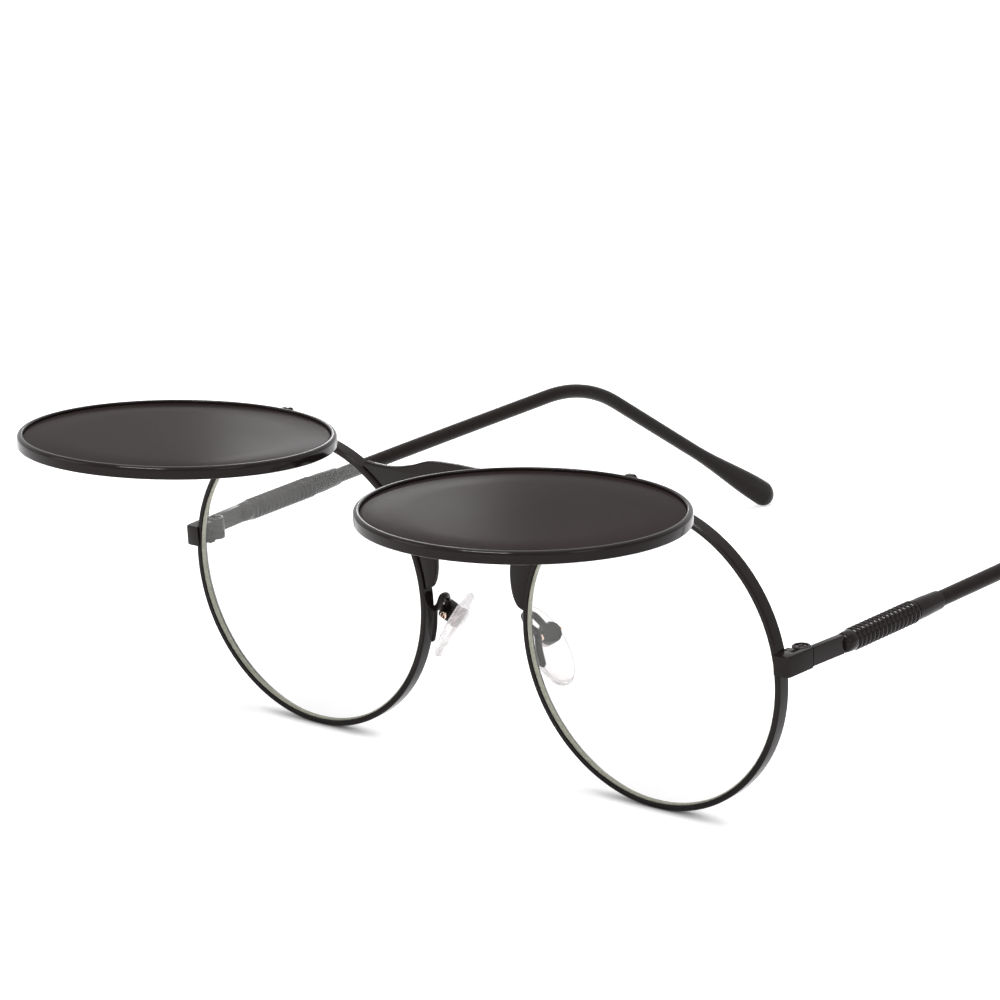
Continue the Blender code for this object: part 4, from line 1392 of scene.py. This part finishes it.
    def half_sizes(self, run: float) -> tuple[float, float]:
        """Swells the covering towards its tip and rounds its end.

        Args:
            run: distance along the line from the hinge.

        Returns:
            Half width and half height of the covering there.
        """
        left = self.length - run
        share = 1 - (left - self.tip_end_round) / (self.tip_flare - self.tip_end_round)
        share = min(max(share, 0.0), 1.0)
        swell = share * share * (3 - 2 * share)
        width = self.tube_radius + (self.tip_half_width - self.tube_radius) * swell
        height = self.tube_radius + (self.tip_half_height - self.tube_radius) * swell
        if left < self.tip_end_round:
            rounding = sqrt(max(1 - (1 - left / self.tip_end_round) ** 2, 0.0))
            return width * rounding, height * rounding
        return width, height

    def build(self, shop: Workshop, hinge: EndPiece) -> None:
        """Makes both temples.

        Args:
            shop: the workshop.
            hinge: the end piece that carries the left one.
        """
        for piece, finish, node in (
            (self.bar(hinge), LACQUER, "temple_bar"),
            (self.sleeve(), LACQUER, "temple_sleeve"),
            (self.collar(), LACQUER, "temple_collar"),
            (self.covering(), ACETATE, "temple_tip"),
        ):
            shop.fit_pair(put(piece, Matrix.Translation(shop.hinge)), "temple", finish, node)
        shop.keep_pair("temple_core", BLACK_STEEL)


@dataclass
class FlipLens:
    """The dark lens in its own rim, drawn closed about its hinge axis."""

    section: RingSection = RingSection(
        radius=0.0239, wall=0.0009, depth=0.00186, rounding=0.0002, brow=0.00055, groove=0.0004
    )
    axis_up: float = 0.0258
    lens_forward: float = 0.00384
    axis_forward: float = 0.0021
    lens_thickness: float = 0.001
    lens_gap: float = 0.00008
    lens_shares: tuple[float, ...] = (0.05, 0.35, 0.7, 0.985)
    lens_edge_share: float = 0.9
    apex_share: float = 0.125
    knuckle_radius: float = 0.0008
    knuckle_width: float = 0.0014
    knuckle_rounding: float = 0.00008
    lug_rounding: float = 0.00012
    lug_inset: float = 0.0003
    lug_sink: float = 0.0003
    lug_rise: float = 0.0001
    knob_foot: float = 0.00005
    knob_top: float = 0.0009
    knob_shoulder: float = 0.001
    bore_radius: float = 0.00041
    lug_crease: float = radians(40)
    steps: int = 144

    @property
    def centre(self) -> Vector:
        """The ring's centre from the hinge axis, with the lens closed."""
        return Vector((0.0, self.axis_forward - self.lens_forward, -self.axis_up))

    def lug_profile(self) -> list[Vector]:
        """Draws the lug from the rim up to the knuckle, with the thumb knob at its front.

        Returns:
            Its corners as (y, z) from the hinge axis.
        """
        top = self.section.radius + self.centre.z
        half = self.section.depth / 2 - self.lug_inset
        front, back = self.centre.y - half, self.centre.y + half
        radius = self.knuckle_radius
        neck = radius * sin(pi / 4)
        knob = self.centre.y - self.section.depth / 2
        profile = [
            (back, top - self.lug_sink),
            (back, top + self.lug_rise),
            ((back + neck) / 2, (top - neck) / 2),
            (neck, -neck),
            (radius, 0.0),
            (neck, neck),
            (0.0, radius),
            (-neck, neck),
            ((knob - neck) / 2, (neck + top + self.knob_shoulder) / 2),
            (knob, top + self.knob_top),
            (knob, top + self.knob_foot),
            (front, top - self.lug_sink),
        ]
        return [Vector(spot) for spot in profile]

    def rim(self) -> bpy.types.Object:
        """Makes the rim with its lug and knuckle.

        Returns:
            The rim, about the hinge axis.
        """
        width = self.knuckle_width
        ring = put(self.section.spin("flip_ring", self.steps), Matrix.Translation(self.centre))
        along_axis = Matrix.Rotation(pi / 2, 4, "Y")
        carve(ring, plate("lug", self.lug_profile(), width, self.lug_rounding, Axis.X), Join.ADD)
        barrel = soften(rod("barrel", self.knuckle_radius, -width / 2, width / 2), self.knuckle_rounding)
        carve(ring, put(barrel, along_axis), Join.ADD)
        carve(ring, put(rod("bore", self.bore_radius, -width, width), along_axis))
        return smooth(ring, self.lug_crease)

    def lens(self) -> bpy.types.Object:
        """Makes the flat tinted lens with its vee edge.

        Returns:
            The lens, about the hinge axis.
        """
        edge = self.section.inner - self.lens_gap
        apex = edge + self.section.groove - self.lens_gap
        half = self.lens_thickness / 2
        side, tip = half * self.lens_edge_share, half * self.apex_share
        front = [(edge * share, -half) for share in self.lens_shares]
        back = [(edge * share, half) for share in reversed(self.lens_shares)]
        profile = [*front, (edge, -side), (apex, -tip), (apex, tip), (edge, side), *back]
        return put(turned("flip_glass", profile, self.steps), Matrix.Translation(self.centre))

    def build(self, shop: Workshop) -> None:
        """Makes both flip lenses, each swung up to its own stop, and finishes their brackets and pins.

        Args:
            shop: the workshop.
        """
        parts = ((self.rim(), LACQUER, "flip_rim"), (self.lens(), DARK_LENS, "dark_lens"))
        for side in Side:
            joint = shop.joint(f"flip_{side.value}_close")
            opened = Matrix.Rotation(-radians(joint["range_deg"][1]), 4, "X")
            place = Matrix.Translation(Vector(joint["pos_m"])) @ shop.turn @ opened
            for piece, finish, node in parts:
                made = put(duplicate(piece, f"{piece.name}_{side.value}"), place)
                shop.fit(made, f"flip_{side.value}", finish, [f"{node}_{side.value}"])
        for piece, _, _ in parts:
            bpy.data.objects.remove(piece)
        shop.keep_pair("flip_bracket", LACQUER)
        shop.keep_pair("flip_pin", BLACK_STEEL)


@dataclass
class NosePad:
    """A nose pad with its stem, the metal box that holds it, its gilt screw and its wire arm."""

    out: float = 0.0099
    back: float = 0.005
    drop: float = 0.0026
    frontal: float = radians(31.5)
    splay: float = radians(10.0)
    length: float = 0.0132
    width: float = 0.0068
    thickness: float = 0.0015
    narrowing_share: float = 0.12
    standoff: float = 0.0012
    screw_above: float = 0.0016
    pad_segments: int = 56
    stem_radius: float = 0.0008
    stem_reach: float = 0.0007
    stem_segments: int = 32
    box_radius: float = 0.00165
    box_front: float = 0.0009
    box_back: float = 0.00115
    box_segments: int = 48
    socket_radius: float = 0.0011
    socket_depth: float = 0.00185
    screw_tail: float = 0.0006
    screw_proud: float = 0.00044
    wire_radius: float = 0.00055
    wire_segments: int = 24
    foot_top: float = radians(4.0)
    foot_length: float = radians(12.0)
    foot_shares: tuple[float, ...] = (1.0, 0.5, 0.0)
    loop_rise: Vector = field(default_factory=lambda: Vector((0.0089, 0.0014, -0.0005)))
    loop_peak: Vector = field(default_factory=lambda: Vector((0.0081, 0.0014, 0.001)))
    loop_fall: Vector = field(default_factory=lambda: Vector((0.0086, 0.003, 0.0006)))
    joint_spots: tuple[Vector, ...] = (Vector((-0.0006, 0.0008, 0.0014)), Vector((-0.0004, 0.0004, 0.0008)))
    seat_gap: float = 0.00006
    screw: ScrewHead = field(
        default_factory=lambda: ScrewHead(0.00032, 0.00055, 0.0004, 0.00016, 0.00014, slots=1)
    )
    # How far through the pad's thickness, and how much of its full outline it has there.
    pad_shares: tuple[tuple[float, float], ...] = (
        (0.02, 0.3),
        (0.0, 0.6),
        (0.0, 0.86),
        (0.1, 0.95),
        (0.28, 1.0),
        (0.5, 0.99),
        (0.7, 0.93),
        (0.86, 0.8),
        (0.95, 0.62),
        (1.0, 0.35),
        (1.0, 0.1),
    )
    # How much of the stem's radius, and how far beyond its start: the plug that sits in the box.
    plug_marks: tuple[tuple[float, float], ...] = ((0.8, 0.0), (1.0, 0.00015))
    # How much of the stem's radius, and how far beyond the pad's face: the core moulded into the pad.
    core_marks: tuple[tuple[float, float], ...] = ((1.0, 0.0002), (2.1, 0.0004), (2.1, 0.0007))
    # How much of the box's radius, and how far beyond its back.
    dome_marks: tuple[tuple[float, float], ...] = ((0.72, 0.0), (0.9, 0.00008), (1.0, 0.0004))
    box_edge: float = 0.0001

    def place(self) -> Matrix:
        """Finds the left pad's own frame on the drawing board.

        Returns:
            The frame, with x to the nose and z up along the pad.
        """
        up = Vector((-sin(self.frontal), 0.0, cos(self.frontal)))
        flat = Vector((-cos(self.frontal), 0.0, -sin(self.frontal)))
        nose = (flat * cos(self.splay) + Vector((0.0, sin(self.splay), 0.0))).normalized()
        turn = Matrix((nose, up.cross(nose), up)).transposed().to_4x4()
        return Matrix.Translation((self.out, self.back, -self.drop)) @ turn

    def to_nose(self, piece: bpy.types.Object) -> bpy.types.Object:
        """Turns a piece that was drawn along y to point to the nose, along x."""
        return put(piece, Matrix.Rotation(-pi / 2, 4, "Z"))

    def pad(self) -> bpy.types.Object:
        """Makes the soft oval pad, narrower at the top, with a rounded edge and a slightly hollow back.

        Returns:
            The pad in its own frame.
        """
        stations = [
            Station(
                Vector((0.0, self.standoff + self.thickness * height, 0.0)),
                self.width / 2 * share,
                self.length / 2 * share,
            )
            for height, share in self.pad_shares
        ]
        piece = sweep("pad_cushion", stations, self.pad_segments)
        select_only(piece)
        step = piece.modifiers.new("narrow", "SIMPLE_DEFORM")
        step.deform_method = "TAPER"
        step.deform_axis = "Z"
        step.factor = -2 * self.narrowing_share
        step.lock_y = True
        bpy.ops.object.modifier_apply(modifier=step.name)
        return self.to_nose(put(piece, Matrix.Translation((0.0, 0.0, -self.screw_above))))

    def stem(self) -> bpy.types.Object:
        """Makes the pad's stem, with the flat core that is moulded into the pad.

        Returns:
            The stem in the pad's frame.
        """
        profile = [(self.stem_radius * share, run - self.stem_reach) for share, run in self.plug_marks]
        profile += [(self.stem_radius * share, run + self.standoff) for share, run in self.core_marks]
        return self.to_nose(turned("pad_stem", profile, self.stem_segments))

    def box(self) -> bpy.types.Object:
        """Makes the round metal box with its socket.

        Returns:
            The box in the pad's frame.
        """
        front, edge = self.box_front, self.box_edge
        profile = [(self.box_radius * share, run - self.box_back) for share, run in self.dome_marks]
        profile += [(self.box_radius, front - edge), (self.box_radius - edge, front)]
        piece = turned("pad_cup", profile, self.box_segments)
        hole = rod("socket", self.socket_radius, front - self.socket_depth, 2 * front)
        carve(piece, put(hole, Matrix.Rotation(-pi / 2, 4, "X")))
        return self.to_nose(smooth(piece))

    def gilt_screw(self) -> bpy.types.Object:
        """Makes the cross screw that the pad rocks on.

        Returns:
            The screw in the pad's frame.
        """
        made = self.screw.build(
            "pad_gilt_screw", -self.box_radius - self.screw_tail, self.box_radius + self.screw_proud
        )
        return put(made, Matrix.Rotation(-pi / 2, 4, "X"))

    def arm(self, rims: FrontRims) -> bpy.types.Object:
        """Makes the bent wire from its foot on the back of the eyewire to the box.

        Args:
            rims: the eyewires.

        Returns:
            The left arm on the drawing board.
        """
        radius = rims.section.radius - rims.section.wall / 2
        depth = rims.section.depth / 2 + self.seat_gap + self.wire_radius
        foot = [
            Vector((rims.spacing / 2 + radius * cos(turn), depth, radius * sin(turn)))
            for turn in (pi + self.foot_top + self.foot_length * share for share in self.foot_shares)
        ]
        last = [self.place() @ spot for spot in self.joint_spots]
        points = curve_through([*foot, self.loop_rise, self.loop_peak, self.loop_fall, *last])
        return wire("pad_wire", points, self.wire_radius, self.wire_segments)

    def build(self, shop: Workshop, rims: FrontRims) -> None:
        """Makes both pads with their fittings.

        Args:
            shop: the workshop.
            rims: the eyewires that carry them.
        """
        place = self.place()
        shop.fit_pair(put(self.pad(), place), "pad", SILICONE, "nose_pad")
        shop.fit_pair(put(self.stem(), place), "pad", SILICONE, None)
        shop.fit_pair(put(self.box(), place), FRONT, LACQUER, "pad_box")
        shop.fit_pair(put(self.gilt_screw(), place), FRONT, GILT, "pad_screw")
        shop.fit_pair(self.arm(rims), FRONT, LACQUER, "pad_arm")


@dataclass(frozen=True)
class SoftBox:
    """One soft lamp.

    Args:
        name: name of the lamp.
        place: where it hangs.
        size: width and height of the box.
        power: power in watts.
    """

    name: str
    place: tuple[float, float, float]
    size: tuple[float, float]
    power: float


@dataclass
class Studio:
    """The pale floor, the soft lamps, the white surround and the camera."""

    azimuth: float = radians(39.83)
    elevation: float = radians(14.5)
    roll: float = radians(-0.29)
    distance: float = 0.6663
    target: Vector = field(default_factory=lambda: Vector((0.00479, -0.0003, 0.01879)))
    lens: float = 160.4
    sensor: float = 36.0
    clip: tuple[float, float] = (0.01, 100.0)
    white: str = "#ffffff"
    card: str = "#e4e4e4"
    ambient: float = 0.36
    # The floor's glow is lowered under where each rim stands as a painted contact shadow; these settings give
    # its depth, its reach and its stretch along y.
    painted_shadow_glow: float = 0.0
    far_glow: float = 0.64
    painted_shadow_core: float = 0.003
    painted_shadow_edge: float = 0.014
    painted_shadow_stretch: float = 4.6
    floor_size: float = 8.0
    lamp_aim: Vector = field(default_factory=lambda: Vector((0.0, 0.0, 0.03)))
    lamps: tuple[SoftBox, ...] = (
        SoftBox("key_strip", (0.05, -0.65, 1.05), (0.5, 0.12), 14.5),
        SoftBox("overhead_box", (-0.1, 0.3, 1.3), (1.2, 1.2), 4.0),
        SoftBox("front_left_box", (-0.8, -0.9, 0.5), (0.6, 0.6), 3.2),
        SoftBox("right_box", (1.1, -0.2, 0.6), (0.4, 0.4), 2.2),
        SoftBox("low_back_box", (-0.98, 1.03, 0.39), (0.11, 0.11), 0.26),
    )

    def camera(self, rings: Vector) -> None:
        """Sets the camera at the photograph's viewing angle.

        Args:
            rings: the point midway between the ring centres.
        """
        bpy.ops.object.camera_add()
        camera = bpy.context.active_object
        camera.name = "camera"
        away = Vector(
            (
                sin(self.azimuth) * cos(self.elevation),
                -cos(self.azimuth) * cos(self.elevation),
                sin(self.elevation),
            )
        )
        place = rings + self.target + away * self.distance
        turn = (-away).to_track_quat("-Z", "Y").to_matrix() @ Matrix.Rotation(self.roll, 3, "Z")
        camera.matrix_world = Matrix.Translation(place) @ turn.to_4x4()
        camera.data.lens = self.lens
        camera.data.sensor_width = self.sensor
        camera.data.clip_start, camera.data.clip_end = self.clip
        bpy.context.scene.camera = camera

    def seen_directly(self, tree: bpy.types.NodeTree) -> bpy.types.NodeSocket:
        """Tells the rays that show a surface from those that only light it.

        Args:
            tree: the node tree.

        Returns:
            One where a ray comes from the camera, a reflection or a transmission, and zero elsewhere.
        """
        path = add_node(tree, "ShaderNodeLightPath")
        seen = path.outputs["Is Camera Ray"]
        for kind in ("Is Glossy Ray", "Is Transmission Ray"):
            either = add_node(
                tree, "ShaderNodeMath", {"operation": "MAXIMUM"}, {0: seen, 1: path.outputs[kind]}
            )
            seen = either.outputs[0]
        return seen

    def surround(self) -> None:
        """Makes a white world that lights the object at a plain level."""
        world = bpy.data.worlds.new("white surround")
        world.use_nodes = True
        bpy.context.scene.world = world
        tree = world.node_tree
        tree.nodes.clear()
        strength = add_node(
            tree,
            "ShaderNodeMapRange",
            {"To Min": self.ambient, "To Max": 1.0},
            {"Value": self.seen_directly(tree)},
        )
        light = add_node(
            tree,
            "ShaderNodeBackground",
            {"Color": linear(self.white)},
            {"Strength": strength.outputs["Result"]},
        )
        add_node(tree, "ShaderNodeOutputWorld", links={"Surface": light.outputs["Background"]})

    def glow(self, tree: bpy.types.NodeTree, foot: Vector) -> bpy.types.NodeSocket:
        """Paints a contact shadow into the floor's glow: the glow is lowest where each rim stands and rises
        with the distance from there, in an ellipse.

        Args:
            tree: the floor's node tree.
            foot: where the left rim stands.

        Returns:
            The strength of the glow.
        """
        place = add_node(tree, "ShaderNodeTexCoord")
        split = add_node(tree, "ShaderNodeSeparateXYZ", links={"Vector": place.outputs["Object"]})
        aside = add_node(tree, "ShaderNodeMath", {"operation": "ABSOLUTE"}, {0: split.outputs["X"]})
        across = add_node(tree, "ShaderNodeMath", {"operation": "SUBTRACT", 1: foot.x}, {0: aside.outputs[0]})
        ahead = add_node(
            tree, "ShaderNodeMath", {"operation": "SUBTRACT", 1: foot.y}, {0: split.outputs["Y"]}
        )
        deep = add_node(
            tree, "ShaderNodeMath", {"operation": "MULTIPLY", 1: self.painted_shadow_stretch}, {0: ahead.outputs[0]}
        )
        joined = add_node(tree, "ShaderNodeCombineXYZ", links={"X": across.outputs[0], "Y": deep.outputs[0]})
        away = add_node(tree, "ShaderNodeVectorMath", {"operation": "LENGTH"}, {0: joined.outputs["Vector"]})
        # The low glow near the rims is a painted contact shadow; the floor's diffuse card keeps the real
        # shadow on top of it.
        rise = add_node(
            tree,
            "ShaderNodeMapRange",
            {
                "From Min": self.painted_shadow_core,
                "From Max": self.painted_shadow_edge,
                "To Min": self.painted_shadow_glow,
                "To Max": self.far_glow,
            },
            {"Value": away.outputs["Value"]},
        )
        shown = add_node(
            tree,
            "ShaderNodeMath",
            {"operation": "MULTIPLY"},
            {0: rise.outputs["Result"], 1: self.seen_directly(tree)},
        )
        return shown.outputs[0]

    def floor(self, foot: Vector) -> None:
        """Lays a pale floor that keeps the object's shadow, has a painted contact shadow in its glow under
        the rims, and glows white away from where the rims stand.

        Args:
            foot: where the left rim stands.
        """
        bpy.ops.mesh.primitive_plane_add(size=self.floor_size, location=ORIGIN)
        floor = named("studio_floor")
        made = bpy.data.materials.new("white card")
        made.use_nodes = True
        tree = made.node_tree
        tree.nodes.clear()
        light = add_node(
            tree, "ShaderNodeEmission", {"Color": linear(self.white)}, {"Strength": self.glow(tree, foot)}
        )
        card = add_node(tree, "ShaderNodeBsdfDiffuse", {"Color": linear(self.card)})
        both = add_node(
            tree, "ShaderNodeAddShader", links={0: light.outputs["Emission"], 1: card.outputs["BSDF"]}
        )
        add_node(tree, "ShaderNodeOutputMaterial", links={"Surface": both.outputs["Shader"]})
        floor.data.materials.append(made)

    def hang(self, box: SoftBox) -> None:
        """Hangs one soft lamp.

        Args:
            box: the lamp.
        """
        place = Vector(box.place)
        bpy.ops.object.light_add(type="AREA", location=place)
        lamp = bpy.context.active_object
        lamp.name = box.name
        lamp.data.shape = "RECTANGLE"
        lamp.data.size, lamp.data.size_y = box.size
        lamp.data.energy = box.power
        lamp.rotation_euler = (self.lamp_aim - place).to_track_quat("-Z", "Y").to_euler()

    def build(self, shop: Workshop, rims: FrontRims) -> None:
        """Sets up the whole studio.

        Args:
            shop: the workshop.
            rims: the eyewires, which stand on the floor.
        """
        rings = shop.front.translation
        self.surround()
        self.floor(Vector((rims.spacing / 2, rings.y + rims.section.radius * sin(shop.tilt), 0.0)))
        for box in self.lamps:
            self.hang(box)
        self.camera(rings)
        bpy.context.scene.view_settings.view_transform = "Standard"


def main() -> None:
    """Builds every sub-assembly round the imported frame."""
    logging.basicConfig(level=logging.INFO, format="%(name)s: %(message)s")
    for stale in list(bpy.data.objects):
        bpy.data.objects.remove(stale)
    shop = Workshop(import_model(), Paintbox())
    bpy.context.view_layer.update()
    rims, hinge = FrontRims(), EndPiece()
    rims.build(shop)
    BridgePlate().build(shop, rims)
    hinge.build(shop, rims)
    Temple().build(shop, hinge)
    FlipLens().build(shop)
    NosePad().build(shop, rims)
    Studio().build(shop, rims)


if __name__ == "__main__":
    main()
